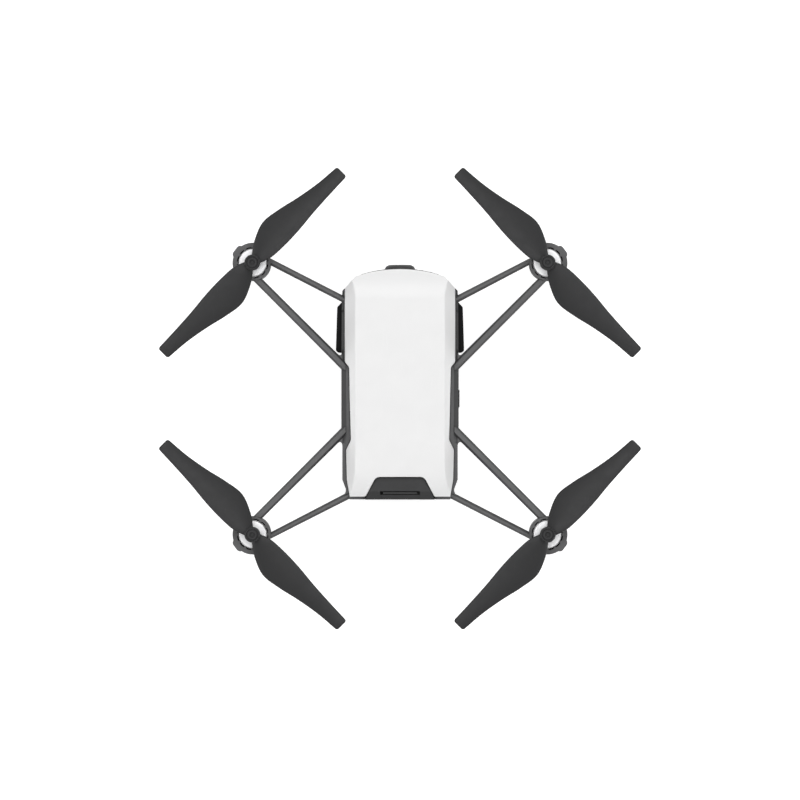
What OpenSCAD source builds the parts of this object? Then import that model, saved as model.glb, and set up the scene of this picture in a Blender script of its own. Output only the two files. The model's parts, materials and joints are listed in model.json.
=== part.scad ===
// A small camera quadcopter, standing on its four feet.
// Millimetres. +Z is up and the nose points along -Y, so the craft's own left side is +X.
// The origin is on the ground, midway between the four motors.

/* [Craft] */
// Distance between the left and right motor axes
motor_span_x = 86.8; // [86.4:0.1:87.4]
// Distance between the front and rear motor axes
motor_span_y = 80; // [79.6:0.1:80.6]
// Height of the propeller hubs' tops above the ground
craft_height = 41; // [41:0.1:42]

/* [Propellers] */
// Tip to tip diameter of a propeller
propeller_diameter = 75; // [73:0.5:76]
// Diameter of a propeller hub
hub_diameter = 4.6; // [4.4:0.1:5]
// Blade angle where the blade is widest, in degrees
inner_pitch = 19; // [14:1:20]
// Blade angle at the tip, in degrees
tip_pitch = 8; // [6:1:12]

/* [Motors] */
// Diameter of a motor can
motor_diameter = 8.5; // [8.4:0.1:8.6]
// Length of a motor can
motor_length = 20; // [19.5:0.5:20]
// Diameter of a motor shaft
shaft_diameter = 1; // [0.8:0.1:1]

/* [Body] */
// Height of the belly above the ground
belly_z = 7; // [6.5:0.1:7]
// Height of the seam between the belly cover and the frame
seam_z = 12; // [11.8:0.1:12.2]
// Height of the frame's top rail
rail_z = 27.6; // [27.4:0.1:27.8]
// Height of the top cover's flat roof
roof_z = 34.6; // [34:0.1:35]
// Thickness of the top cover's wall
cover_wall = 1.1; // [0.9:0.1:1.2]
// Thickness of the frame's outer wall
frame_wall = 1.3; // [1.2:0.1:1.4]

/* [Battery] */
// Width of the battery pack
battery_width = 25.5; // [25:0.1:25.6]
// Thickness of the battery pack
battery_height = 12.5; // [12:0.1:12.5]
// Length of the battery pack without its end cap
battery_length = 38.5; // [38:0.1:38.6]

/* [Struts] */
// Width of a nose or tail strut
outer_strut_width = 1.9; // [1.8:0.05:2]
// Width of a diagonal strut
inner_strut_width = 2.5; // [2.3:0.05:2.7]
// Angle of the nose and tail struts to the craft's width, in degrees
outer_strut_angle = 27.2; // [27:0.1:27.4]
// Distance from a motor axis to the line of a nose or tail strut
outer_strut_miss = 2.75; // [2.6:0.05:2.9]
// Distance from a motor axis to the line of a diagonal strut
inner_strut_miss = 2.5; // [2.4:0.05:2.6]

/* [Hidden] */
$fn = 48;

// The four corners of the craft, as signs of x and y.
front_left = [1, -1];
front_right = [-1, -1];
rear_left = [1, 1];
rear_right = [-1, 1];

// Colours of the finishes.
grey_plastic = [0.30, 0.30, 0.31];
dark_plastic = [0.16, 0.16, 0.17];
white_plastic = [0.93, 0.93, 0.93];
black_gloss = [0.08, 0.08, 0.09];
blade_plastic = [0.24, 0.24, 0.25];
bright_metal = [0.80, 0.80, 0.82];
board_green = [0.05, 0.22, 0.14];
copper = [0.75, 0.45, 0.25];

// Motor heights: the can hangs in its sleeve, just under the blades.
can_top = craft_height - 6.2;
can_bottom = can_top - motor_length;
can_r = motor_diameter / 2;
can_wall = 0.35;
shaft_r = shaft_diameter / 2;
shaft_fit = 0.04;

// Motor sleeve of the frame, with its ribbed bore and the flange round its top.
sleeve_r = 5.1;
sleeve_bore_r = can_r + 0.37;
flange_r = 5.3;
crescent_r = 5.95;
sleeve_top = can_top - 0.9;
sleeve_bottom = can_bottom + 0.5;
flange_height = 3.2;
outward_angle = atan2(3, 4);
catch_reach = 6.45;
catch_width = 4.1;
catch_corner_r = 1.2;
rib_count = 12;
rib_width = 0.9;
lead_hole_z = sleeve_bottom + 0.85;
lead_hole_r = 0.8;

// Struts: they rise from the rail to just under the sleeve's top, and narrow on the way.
strut_depth = 3.2;
strut_bevel = 0.62;
strut_bevel_drop = 1.1;
strut_root_z = rail_z + 0.2;
strut_end_z = sleeve_top - 0.5;
strut_narrowing = 0.9;
outer_root_x = 14.4;
inner_root_x = 15;
strut_inset = 1.2;
waist_corner = [17, 11.6];
waist_fillet = 3;
tail_corner = [15.4, 28];
tail_fillet = 2.4;

// Propeller heights.
hub_r = hub_diameter / 2;
hub_height = 4.6;
hub_bottom = craft_height - hub_height;
blade_z = craft_height - 2.6;
blade_angle = 45;

// Planform of a blade: radius, then how far the leading and the trailing edge lie from its axis.
propeller_r = propeller_diameter / 2;
blade_stations = [
    [1.4, 1.7, 1.7], [5, 2.9, 4.2], [10.5, 3.2, 6.3], [16.5, 3, 5.6], [23, 2.4, 4.1],
    [30, 2, 2.9], [propeller_r - 0.8, 1.75, 2.35],
];
blade_tip = [[propeller_r - 0.25, 1.6, 2.2], [propeller_r, 1.15, 1.85]];

// Body plan. Every outline is its left half from the nose to the tail, then mirrored.
nose_y = -38.2;
nose_arc_r = 42.5;
nose_arc_x = 13.2;
tail_y = 28.9;
nose_arc = [
    for (i = [0 : 5])
        let (a = asin(nose_arc_x / nose_arc_r) * i / 5)
            [nose_arc_r * sin(a), nose_y + nose_arc_r * (1 - cos(a))]
];
notch_corner_r = 1.85;
notch_corner = [
    for (a = [-24 : -22 : -90])
        [6, 24.9] + notch_corner_r * [cos(a), sin(a)]
];
cover_side = [
    [16.3, -32.5], [16.3, -10.8], [15, -9.3], [14.5, 12.2], [15.9, 15.1], [15.7, 23.9], [14.8, tail_y],
];
cover_half = concat(nose_arc, cover_side, [[10.1, tail_y]], notch_corner);
cover_half_full = concat(nose_arc, cover_side);
frame_rear_y = 29.8;
frame_front_y = -31.9;
frame_half = [
    [16.4, frame_front_y - 0.7], [17.05, frame_front_y], [17.2, -28.5], [17.35, -8.4], [17.35, 8.5],
    [17.05, 13.6], [17.05, 24], [14.85, frame_rear_y],
];

// Top cover section: a flat roof, steep side facets, and ends that fall away.
roof_half_width = 13.2;
facet_foot_x = 16.5;
facet_foot_z = roof_z - 4.6;
cover_bottom = rail_z - 1;
end_fall = 3.4;
end_fall_length = 9;

// Levels inside the body.
bay_floor = belly_z + 1.2;
battery_z = bay_floor + 0.2;
battery_half = battery_width / 2;
bay_half = battery_half + 0.35;
bay_wall = 0.9;
deck_z = battery_z + battery_height + 0.3;
deck_thickness = 1;
board_z = deck_z + deck_thickness + 0.8;
board_thickness = 1;
board_top = board_z + board_thickness;
bulkhead_y = -16.5;
bulkhead_thickness = 1.2;
battery_front_y = bulkhead_y + bulkhead_thickness + 0.8;
battery_rear_y = battery_front_y + battery_length;
cap_top = roof_z - 2.2;
cap_shoulder_z = deck_z - 0.1;
grip_half = 5.85;
grip_y = 27.3;
grip_depth = 2.2;
ledge_z = rail_z - 2.4;
ledge_width = 1;
cover_gap = 0.15;
rail_gap_half = 10.35;
rail_gap_y = 22.8;

// Tongues of the top cover, and the notches for prising it off.
tongue_x = [13.9, 14.7];
tongue_half = 1.6;
tongue_places = [-26, 18];
prise_notch = [16.65, -25.9];
prise_notch_r = 0.45;

// Holes that let the wires through the side walls and the deck.
motor_wire_hole = [16.6, 10.3, 24];
motor_wire_hole_r = 1.1;
aerial_wire_hole = [16.6, -20, 19];
aerial_wire_hole_r = 1;
deck_hole = [15.3, -20];
deck_hole_r = 1.5;

// Side fittings, on the long walls amidships.
port_z = board_top;
port_size = [7.4, 2.5];
button_z = board_top + 1.2;
button_half_length = 2.6;
button_r = 1.05;
side_wall_x = 17.35;

// Camera in the nose, whose rim stands out past the cover.
camera_z = 20.5;
bezel_wall = 1.2;
bezel_arc_r = 40;
bezel_arc_x = 11.2;
rim_profile = [[0, -3], [4.6, -3], [4.5, 0.3], [4.1, 1], [3, 1.55], [0, 1.55]];

// Sensors under the belly.
sensor_y = -24;
sensor_window_z = belly_z - 0.3;

screw_r = 0.7;
screw_head_r = 1.25;
belly_screw_places = [[12.4, -28.8], [12.4, -18.2], [-12.4, -28.8], [-12.4, -18.2]];
board_screw_places = [[11.2, -27], [11.2, 17.5], [-11.2, -27], [-11.2, 17.5]];

// Routes of the wires, for the craft's left side; the front pair runs along -Y.
lead_r = 0.5;
motor_lead_route = [
    [41.9, 35.8, 16.1], [41.7, 35.1, 16.2], [41.5, 34.5, 17], [41.4, 34.4, 19], [41.4, 34.4, 22],
    [41.4, 34.4, 25], [41.3, 34.3, 27.4], [40.6, 33.6, 28.4], [39, 32.1, 28.5], [34, 27.1, 27.6],
    [30, 23.1, 26.8], [26, 19.1, 26], [22, 15.1, 25.2], [19.4, 12.5, 24.7], [18.2, 11.2, 24.4],
    [17.2, 10.4, 24.1], [16.1, 9.8, 23.8], [15, 9.4, 23.6], [14.1, 9.3, 23.5],
];
coax_route = [
    [17.65, -20, 18.5], [16.9, -20, 18.8], [16, -20, 19.4], [15.3, -20, 20.6], [15, -20, 22],
    [14.6, -19.6, 23.6], [13.8, -18.8, 24.7], [12.6, -18, 24.9],
];

// ---------- helpers ----------

function mirrored(half) = concat(half, [for (i = [len(half) - 1 : -1 : 0]) [-half[i].x, half[i].y]]);

function mix(a, b, t) = a + (b - a) * t;

// A smooth curve through the rows of a list, read at place u from 0 to the last row.
function curve(rows, u) =
    let (
        last = len(rows) - 1,
        i = min(floor(u), last - 1),
        t = u - i,
        p0 = rows[max(i - 1, 0)],
        p1 = rows[i],
        p2 = rows[i + 1],
        p3 = rows[min(i + 2, last)]
    )
    0.5 * (2 * p1 + (p2 - p0) * t + (2 * p0 - 5 * p1 + 4 * p2 - p3) * t * t
        + (3 * p1 - p0 - 3 * p2 + p3) * t * t * t);

function unit(v) = v / norm(v);

// A closed solid over rings of points, all rings having the same number of points.
module skin(rings) {
    n = len(rings[0]);
    last = len(rings) - 1;
    polyhedron(
        points = [for (ring = rings) each ring],
        faces = concat(
            [[for (i = [0 : n - 1]) i]],
            [for (j = [0 : last - 1], i = [0 : n - 1])
                [j * n + i, (j + 1) * n + i, (j + 1) * n + (i + 1) % n, j * n + (i + 1) % n]],
            [[for (i = [n - 1 : -1 : 0]) last * n + i]]
        ),
        convexity = 4
    );
}

// A round wire along a smooth curve through the route's points.
module wire(route, r, steps = 2, sides = 8) {
    count = (len(route) - 1) * steps;
    line = [for (k = [0 : count]) curve(route, k / steps)];
    skin([
        for (k = [0 : count])
            let (
                along = unit(line[min(k + 1, count)] - line[max(k - 1, 0)]),
                side = unit(cross(along, [0.35, 0.9, 0.2])),
                up = cross(side, along)
            )
                [
                    for (s = [0 : sides - 1])
                        let (a = 360 * s / sides)
                            line[k] + r * (cos(a) * side + sin(a) * up)
                ]
    ]);
}

// Draws its children at one corner of the craft, mirrored from the rear left one.
module at_corner(corner) {
    mirror([corner.x < 0 ? 1 : 0, 0, 0]) mirror([0, corner.y < 0 ? 1 : 0, 0]) children();
}

module at_motor(corner) {
    translate([corner.x * motor_span_x / 2, corner.y * motor_span_y / 2, 0]) children();
}

module tube(r_outer, r_inner, z0, z1) {
    translate([0, 0, z0]) difference() {
        cylinder(r = r_outer, h = z1 - z0);
        translate([0, 0, -1]) cylinder(r = r_inner, h = z1 - z0 + 2);
    }
}

module disc(r, z0, z1) {
    translate([0, 0, z0]) cylinder(r = r, h = z1 - z0);
}

// A block given by its lowest and highest corners.
module block(low, high) {
    translate(low) cube(high - low);
}

module slab(z0, z1) {
    translate([0, 0, z0]) linear_extrude(z1 - z0) children();
}

// A rounded bar across X, with its round ends seen along Y.
module lozenge(half_length, r, y0, y1) {
    for (x = [-half_length + r, half_length - r])
        translate([x, y1, 0]) rotate([90, 0, 0]) cylinder(r = r, h = y1 - y0);
    block([-half_length + r, y0, -r], [half_length - r, y1, r]);
}

// ---------- frame ----------

module frame_plan() {
    polygon(mirrored(frame_half));
}

module cover_plan(grow = 0) {
    offset(delta = grow) polygon(mirrored(cover_half));
}

// The cover's outline without the battery notch.
module cover_plan_full(grow = 0) {
    offset(delta = grow) polygon(mirrored(cover_half_full));
}

// One strut, with a flat top between two bevels, from the rail up to the motor sleeve.
module strut(angle, miss, root_x, width) {
    reach = motor_span_x / 2 - root_x;
    run = reach / cos(angle) - strut_inset;
    root_y = motor_span_y / 2 + miss / cos(angle) - reach * tan(angle);
    slope = atan((strut_end_z - strut_root_z) / run);
    half = width / 2;
    end = half * strut_narrowing;
    flat = half - strut_bevel;
    translate([root_x, root_y, strut_root_z]) rotate([0, -slope, angle]) translate([0, 0, -strut_depth])
        intersection() {
            linear_extrude(strut_depth) polygon([[0, -half], [run, -end], [run, end], [0, half]]);
            rotate([90, 0, 90]) linear_extrude(run) polygon([
                [-flat, 0], [flat, 0], [half, strut_bevel], [half, strut_depth - strut_bevel_drop],
                [flat, strut_depth], [-flat, strut_depth], [-half, strut_depth - strut_bevel_drop],
                [-half, strut_bevel],
            ]);
        }
}

// A web that fills the inside of a corner with a hollow curve.
module corner_web(point, angle_a, angle_b, reach, z0, z1) {
    a = point + reach * [cos(angle_a), sin(angle_a)];
    b = point + reach * [cos(angle_b), sin(angle_b)];
    slab(z0, z1) polygon(concat(
        [point],
        [for (t = [0 : 0.2 : 1]) mix(mix(a, point, t), mix(point, b, t), t)]
    ));
}

module sleeve_outside() {
    flange_bottom = sleeve_top - flange_height;
    disc(sleeve_r, sleeve_bottom, sleeve_top - 0.2);
    disc(flange_r, flange_bottom, sleeve_top);
    // The side that faces away from the craft is thicker, and carries the catch.
    rotate(outward_angle) {
        slab(flange_bottom, sleeve_top) intersection() {
            circle(r = crescent_r);
            translate([0.8, -crescent_r]) square(2 * crescent_r);
        }
        slab(flange_bottom - 1.6, sleeve_top) catch_plan();
    }
}

// A catch with rounded corners, for a clip-on guard.
module catch_plan() {
    inner = can_r + 0.5;
    corner_x = catch_reach - catch_corner_r;
    corner_y = catch_width / 2 - catch_corner_r;
    translate([inner, -catch_width / 2]) square([corner_x - inner, catch_width]);
    translate([inner, -corner_y]) square([catch_reach - inner, 2 * corner_y]);
    for (y = [-corner_y, corner_y])
        translate([corner_x, y]) circle(r = catch_corner_r);
}

module sleeve_bore() {
    slab(sleeve_bottom - 1, sleeve_top + 1) difference() {
        circle(r = sleeve_bore_r);
        for (i = [0 : rib_count - 1])
            rotate(360 * i / rib_count) translate([can_r, -rib_width / 2]) square([1, rib_width]);
    }
    // Way out for the motor's wires, on the side of the diagonal strut.
    translate([0, 0, lead_hole_z]) rotate([90, 0, -19.3]) cylinder(r = lead_hole_r, h = 8);
}

module corner_arms() {
    difference() {
        union() {
            translate([motor_span_x / 2, motor_span_y / 2, 0]) sleeve_outside();
            strut(outer_strut_angle, outer_strut_miss, outer_root_x, outer_strut_width);
            strut(45, -inner_strut_miss, inner_root_x, inner_strut_width);
            corner_web(waist_corner, 45, 90, waist_fillet, ledge_z, rail_z);
            corner_web(tail_corner, outer_strut_angle, -69, tail_fillet, ledge_z + 0.6, rail_z);
        }
        translate([motor_span_x / 2, motor_span_y / 2, 0]) sleeve_bore();
        // Struts stop at the wall's inner face.
        slab(0, craft_height) offset(delta = -frame_wall) frame_plan();
    }
}

// Outer walls: an open tub with a ledge under the cover's rim, and the rail round it.
module tub() {
    slab(seam_z, ledge_z) difference() {
        frame_plan();
        offset(delta = -frame_wall) frame_plan();
    }
    slab(ledge_z, cover_bottom - 0.1) difference() {
        frame_plan();
        cover_plan_full(-ledge_width);
    }
    difference() {
        slab(cover_bottom - 0.1, rail_z) difference() {
            frame_plan();
            cover_plan_full(cover_gap);
        }
        // The rail's top slopes outwards along the nose and the waist.
        for (side = [0, 1])
            mirror([side, 0, 0]) translate([0, 13.2, 0]) rotate([90, 0, 0]) linear_extrude(50)
                polygon([[15.9, rail_z], [15.9, rail_z + 1], [18, rail_z + 1], [18, rail_z - 1]]);
    }
}

// The space inside the belly cover, up to a given height.
module belly_space(inset, top) {
    translate([0, 0, bay_floor - belly_z]) belly_shape(inset, belly_z, top - bay_floor + belly_z);
}

// Bulkheads and battery bay walls, with the bosses that the belly screws go into.
module inner_walls() {
    inside = side_wall_x - frame_wall + 0.2;
    block([-inside, bulkhead_y, bay_floor], [inside, bulkhead_y + bulkhead_thickness, deck_z]);
    block([-16, frame_front_y, bay_floor + 3.8], [16, frame_front_y + 1.6, deck_z]);
    for (side = [-1, 1]) {
        bay_x = bay_half * side;
        translate([min(bay_x, bay_x + side * bay_wall), 0, 0])
            block([0, bulkhead_y, bay_floor], [bay_wall, tail_y - 0.6, deck_z]);
        for (y = [-6, 6, 18])
            translate([side * (bay_half + inside) / 2, y + 0.5, 0])
                slab(seam_z, deck_z) square([inside - bay_half, 1], center = true);
    }
    for (place = belly_screw_places)
        translate(place) disc(2, bay_floor, deck_z);
}

module main_frame() {
    color(grey_plastic) difference() {
        union() {
            tub();
            intersection() {
                inner_walls();
                union() {
                    slab(seam_z, deck_z) offset(delta = -1) frame_plan();
                    belly_space(frame_wall + 0.15, seam_z + 1.7);
                }
            }
            for (corner = [front_left, front_right, rear_left, rear_right])
                at_corner(corner) corner_arms();
        }
        // Mouth of the battery bay, and the gap in the rail over the end cap.
        block([-bay_half, bulkhead_y + bulkhead_thickness, bay_floor - 1], [bay_half, 40, deck_z]);
        block([-rail_gap_half, rail_gap_y, deck_z - 1], [rail_gap_half, 40, craft_height]);
        // The open front, which the nose bezel closes.
        block([-15, -40, deck_z], [15, frame_front_y + 1.3, craft_height]);
        // The pocket that the top cover's rim drops into.
        slab(cover_bottom - 0.1, craft_height) cover_plan_full(cover_gap);
        // Charging port, power button, aerial wires and motor wires.
        translate([12, 0, port_z - 0.15]) rotate([90, 0, 90]) linear_extrude(8)
            translate([-port_size.x / 2 - 0.15, 0]) square(port_size + [0.3, 0.3]);
        block([-side_wall_x + frame_wall, -3.6, deck_z + 1], [-12, 3.6, cover_bottom]);
        translate([-14, 0, button_z]) rotate([0, 0, 90])
            lozenge(button_half_length + 0.12, button_r + 0.12, 0, 6);
        for (side = [0, 1])
            mirror([side, 0, 0]) {
                translate(aerial_wire_hole) rotate([0, 90, 0])
                    cylinder(r = aerial_wire_hole_r, h = 3, center = true);
                for (end = [0, 1])
                    mirror([0, end, 0]) translate(motor_wire_hole) rotate([0, 90, 0])
                        cylinder(r = motor_wire_hole_r, h = 4, center = true);
                // Notch for prising the top cover off.
                translate(prise_notch) disc(prise_notch_r, cover_bottom - 0.4, rail_z + 1);
            }
        for (place = belly_screw_places)
            translate(place) disc(screw_r, bay_floor - 1, bay_floor + 7);
    }
}

// ---------- covers ----------

module belly_shape(inset, z0, z1) {
    taper = 2.2;
    hull() {
        slab(z1 - 0.01, z1) offset(delta = -inset) frame_plan();
        slab(z0, z0 + 0.01) offset(delta = -inset - taper) frame_plan();
    }
}

module belly_cover() {
    color(grey_plastic) difference() {
        union() {
            difference() {
                belly_shape(0, belly_z, seam_z);
                belly_space(frame_wall, seam_z + 1.7);
            }
            for (place = belly_screw_places)
                translate(place) disc(2, belly_z, bay_floor);
        }
        // Rear mouth for the battery.
        block([-bay_half, 20, bay_floor], [bay_half, 40, seam_z + 1]);
        // Windows for the sensors, cooling slots, and counterbored screw holes.
        translate([0, sensor_y, 0]) slab(belly_z - 1, bay_floor + 1) hull() {
            for (x = [-6.2, 6.2]) translate([x, 0]) circle(r = 3.1, $fn = 32);
        }
        for (i = [0 : 5])
            block([-7.5, -11 + 4.4 * i, belly_z - 1], [7.5, -9.4 + 4.4 * i, bay_floor + 1]);
        for (place = belly_screw_places) translate(place) {
            disc(screw_r, belly_z - 1, bay_floor + 1);
            disc(screw_head_r + 0.1, belly_z - 1, belly_z + 0.7);
        }
    }
}

module board_deck() {
    color(dark_plastic) difference() {
        union() {
            slab(deck_z, deck_z + deck_thickness) difference() {
                offset(delta = -frame_wall - 0.15) frame_plan();
                translate([-20, 22.5]) square([40, 20]);
                translate([-20, -45]) square([40, 45 + frame_front_y + 1.5]);
            }
            for (place = board_screw_places)
                translate(place) disc(2, deck_z + deck_thickness, board_z);
        }
        for (place = board_screw_places)
            translate(place) disc(screw_r, deck_z - 1, board_z + 1);
        for (side = [0, 1])
            mirror([side, 0, 0]) translate(deck_hole) disc(deck_hole_r, deck_z - 1, board_z);
    }
}

// The cover's outer shape when shrink is 0, and the space under its wall when it is the wall.
module cover_shape(shrink) {
    top = roof_z - shrink;
    front = nose_y + shrink;
    rear = tail_y - shrink;
    bottom = cover_bottom - (shrink > 0 ? 1 : 0);
    intersection() {
        slab(bottom, top) cover_plan(-shrink);
        translate([0, 60, 0]) rotate([90, 0, 0]) linear_extrude(120) polygon(mirrored([
            [0, top], [roof_half_width - shrink * 0.4, top],
            [facet_foot_x - shrink, facet_foot_z], [facet_foot_x - shrink, bottom], [0, bottom],
        ]));
        translate([-30, 0, 0]) rotate([90, 0, 90]) linear_extrude(60) polygon(concat(
            [[front - 1, bottom]],
            [for (t = [1 : -0.125 : 0]) [front + end_fall_length * (1 - t), top - end_fall * t * t]],
            [for (t = [0 : 0.125 : 1]) [rear - end_fall_length * (1 - t), top - end_fall * 0.8 * t * t]],
            [[rear + 1, bottom]]
        ));
    }
}

module top_cover() {
    color(white_plastic) {
        difference() {
            cover_shape(0);
            cover_shape(cover_wall);
        }
        // Tongues that grip inside the frame's ledge.
        for (side = [0, 1], y = tongue_places)
            mirror([side, 0, 0]) translate([0, y, 0]) {
                top = cover_bottom + 2;
                block([tongue_x[0], -tongue_half, ledge_z - 0.8], [tongue_x[1], tongue_half, top]);
                block([tongue_x[0], -tongue_half, cover_bottom + 0.2], [15.6, tongue_half, top]);
            }
    }
}

// Outline of the nose piece, from its curved front back to a given line.
module nose_plan(grow, back_y = frame_front_y - 0.6) {
    intersection() {
        offset(delta = grow) polygon(mirrored(concat(
            [for (i = [0 : 5])
                let (a = asin(bezel_arc_x / bezel_arc_r) * i / 5)
                    [bezel_arc_r * sin(a), nose_y - 0.3 + bezel_arc_r * (1 - cos(a))]],
            [[13, -36], [16.2, -32.5], [16.2, -20]]
        )));
        translate([-30, -60]) square([60, 60 + back_y]);
    }
}

// A shape that narrows under the nose.
module nose_shape(grow, back_y, bottom_z, top_z) {
    hull() {
        slab(top_z - 0.1, top_z) nose_plan(grow, back_y);
        slab(16, 16.1) nose_plan(grow - 0.1, back_y);
        slab(bottom_z, bottom_z + 0.1) nose_plan(grow - 2.6, back_y);
    }
}

// Front wall of the body: narrows under the nose and carries the camera's rim.
module nose_bezel() {
    color(grey_plastic) difference() {
        union() {
            nose_shape(0, frame_front_y - 0.7, belly_z + 2.4, cover_bottom - 0.1);
            translate([0, nose_y, camera_z]) rotate([90, 0, 0]) rotate_extrude() polygon(rim_profile);
        }
        difference() {
            nose_shape(-bezel_wall, -25, belly_z + 3.6, cover_bottom + 1);
            translate([0, nose_y + 2.6, camera_z]) rotate([90, 0, 0]) cylinder(r = 4.6, h = 8);
        }
        translate([0, nose_y + 6, camera_z]) rotate([90, 0, 0]) cylinder(r = 2.7, h = 12);
        translate([0, nose_y - 0.9, camera_z]) rotate([90, 0, 0]) cylinder(r = 3.1, h = 2);
        translate([-8.4, nose_y + 6, camera_z + 1]) rotate([90, 0, 0]) cylinder(r = 1.05, h = 12);
        // Room for the belly cover, which wraps round the nose from below.
        belly_shape(-0.05, belly_z, seam_z + 0.02);
    }
}

module antenna_cover(side) {
    color(black_gloss) mirror([side < 0 ? 1 : 0, 0, 0]) difference() {
        slab(13.2, 24.2) difference() {
            polygon([[17, -28.6], [17.2, -28.6], [18.6, -27.1], [19, -14.2], [18.3, -13.6], [17, -13.6]]);
            frame_plan();
        }
        block([17, -27, 15], [18.2, -15.4, 22.6]);
    }
}

module antenna(side) {
    color(copper) mirror([side < 0 ? 1 : 0, 0, 0]) difference() {
        block([17.75, -26.4, 15.6], [18.15, -16, 22]);
        block([17, -24.4, 17.4], [19, -18, 18]);
    }
}

module antenna_leads() {
    color(dark_plastic) for (side = [0, 1])
        mirror([side, 0, 0]) wire(coax_route, 0.4);
}

// ---------- electronics ----------

module main_board() {
    color(board_green) difference() {
        slab(board_z, board_top) polygon(mirrored([
            [7, -29], [13, -29], [13, -10], [14, -8], [14, 9], [13, 21.6], [0, 21.6],
        ]));
        for (place = board_screw_places)
            translate(place) disc(screw_r, board_z - 1, board_top + 1);
    }
}

module processor_shield() {
    color(bright_metal) difference() {
        block([-9, -12, board_top], [9, 6, board_top + 2.6]);
        block([-8.7, -11.7, board_top - 1], [8.7, 5.7, board_top + 2.3]);
    }
}

module power_switch() {
    color(dark_plastic) {
        block([-14.6, -2.2, board_top], [-12, 2.2, board_top + 2.4]);
        translate([-14.6, 0, button_z]) rotate([0, -90, 0]) cylinder(r = 0.7, h = 0.6);
    }
}

module power_button() {
    flange_x = side_wall_x - frame_wall - 0.05;
    color(dark_plastic) translate([0, 0, button_z]) rotate([0, 0, 90]) {
        lozenge(button_half_length, button_r, flange_x - 0.3, side_wall_x + 0.25);
        lozenge(button_half_length + 0.6, button_r + 0.2, flange_x - 0.4, flange_x);
    }
}

module usb_port() {
    mouth = port_size.y - 0.8;
    color(bright_metal) difference() {
        block([12.4, -port_size.x / 2, port_z], [side_wall_x - 0.1, port_size.x / 2, port_z + port_size.y]);
        block([13.2, 0.4 - port_size.x / 2, port_z + 0.4], [20, port_size.x / 2 - 0.4, port_z + 0.4 + mouth]);
    }
    color(dark_plastic) block([12.9, -2, port_z + 1], [16.4, 2, port_z + 1.5]);
}

module camera_module() {
    color(dark_plastic) {
        block([-4.2, nose_y + 2.8, camera_z - 4.2], [4.2, nose_y + 5.2, camera_z + 4.2]);
        translate([0, nose_y + 3, camera_z]) rotate([90, 0, 0]) cylinder(r = 2.6, h = 3);
    }
}

module camera_lens() {
    color(black_gloss) translate([0, nose_y, camera_z]) rotate([90, 0, 0])
        rotate_extrude() intersection() {
            translate([0, -1.6]) circle(r = 2.3);
            square([2.2, 2]);
        }
}

module camera_window() {
    color(black_gloss) translate([0, nose_y - 0.9, camera_z]) rotate([90, 0, 0])
        cylinder(r = 3.1, h = 0.3);
}

module camera_ribbon() {
    route_y = nose_y + 5.2;
    color(copper) translate([-3, 0, 0]) rotate([90, 0, 90]) linear_extrude(6) polygon([
        [route_y, camera_z + 1], [route_y + 0.3, camera_z + 1], [route_y + 0.3, board_top + 0.5],
        [-28, board_top + 0.5], [-28, board_top + 0.8], [route_y, board_top + 0.8],
    ]);
}

module status_light() {
    color("white") translate([-8.4, nose_y + 4, camera_z + 1]) rotate([90, 0, 0]) cylinder(r = 1, h = 3.4);
}

module sensor_board() {
    color(board_green) block([-9.6, sensor_y - 4, bay_floor + 1.8], [9.6, sensor_y + 4, bay_floor + 2.6]);
}

module downward_camera() {
    color(black_gloss) translate([5.6, sensor_y, 0]) {
        disc(2.2, sensor_window_z + 0.7, bay_floor + 1);
        block([-2.5, -2.5, bay_floor + 0.6], [2.5, 2.5, bay_floor + 1.8]);
    }
}

module range_sensor() {
    color(black_gloss) {
        block([-9, sensor_y - 2.4, bay_floor + 0.6], [-1, sensor_y + 2.4, bay_floor + 1.8]);
        for (x = [-7.2, -3])
            translate([x, sensor_y, 0]) disc(1.5, sensor_window_z + 0.7, bay_floor + 1);
    }
}

module sensor_window() {
    color(black_gloss) translate([0, sensor_y, 0]) slab(sensor_window_z, sensor_window_z + 0.6) hull() {
        for (x = [-6.2, 6.2]) translate([x, 0]) circle(r = 3, $fn = 32);
    }
}

module board_screws() {
    color(bright_metal) for (place = board_screw_places) translate(place) {
        disc(screw_r, deck_z + 0.1, board_top + 0.2);
        difference() {
            disc(screw_head_r, board_top, board_top + 0.8);
            for (turn = [0, 90])
                rotate(turn) block([-0.7, -0.14, board_top + 0.4], [0.7, 0.14, board_top + 1]);
        }
    }
}

module belly_screws() {
    color(bright_metal) for (place = belly_screw_places) translate(place) {
        disc(screw_r, belly_z + 0.5, bay_floor + 6.5);
        difference() {
            disc(screw_head_r, belly_z - 0.05, belly_z + 0.7);
            for (turn = [0, 90])
                rotate(turn) block([-0.7, -0.14, belly_z - 1], [0.7, 0.14, belly_z + 0.35]);
        }
    }
}

module battery_connector() {
    z = battery_z + 4;
    color(dark_plastic) {
        difference() {
            block([-6, bulkhead_y - 2.2, z - 1.4], [6, bulkhead_y, z + 4]);
            block([-5.4, bulkhead_y - 1.4, z - 0.8], [5.4, bulkhead_y - 1, z + 3.4]);
        }
    }
}

// ---------- battery ----------

module battery_pack() {
    edge = 1.6;
    color(dark_plastic) translate([0, battery_rear_y, battery_z]) rotate([90, 0, 0])
        linear_extrude(battery_length) hull() {
            for (x = [-battery_half + edge, battery_half - edge], z = [edge, battery_height - edge])
                translate([x, z]) circle(r = edge, $fn = 24);
        }
}

module notch_fill(clearance) {
    offset(delta = -clearance) polygon(mirrored(concat(
        [[12.1, 33], [10.1, tail_y]], notch_corner
    )));
}

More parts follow.
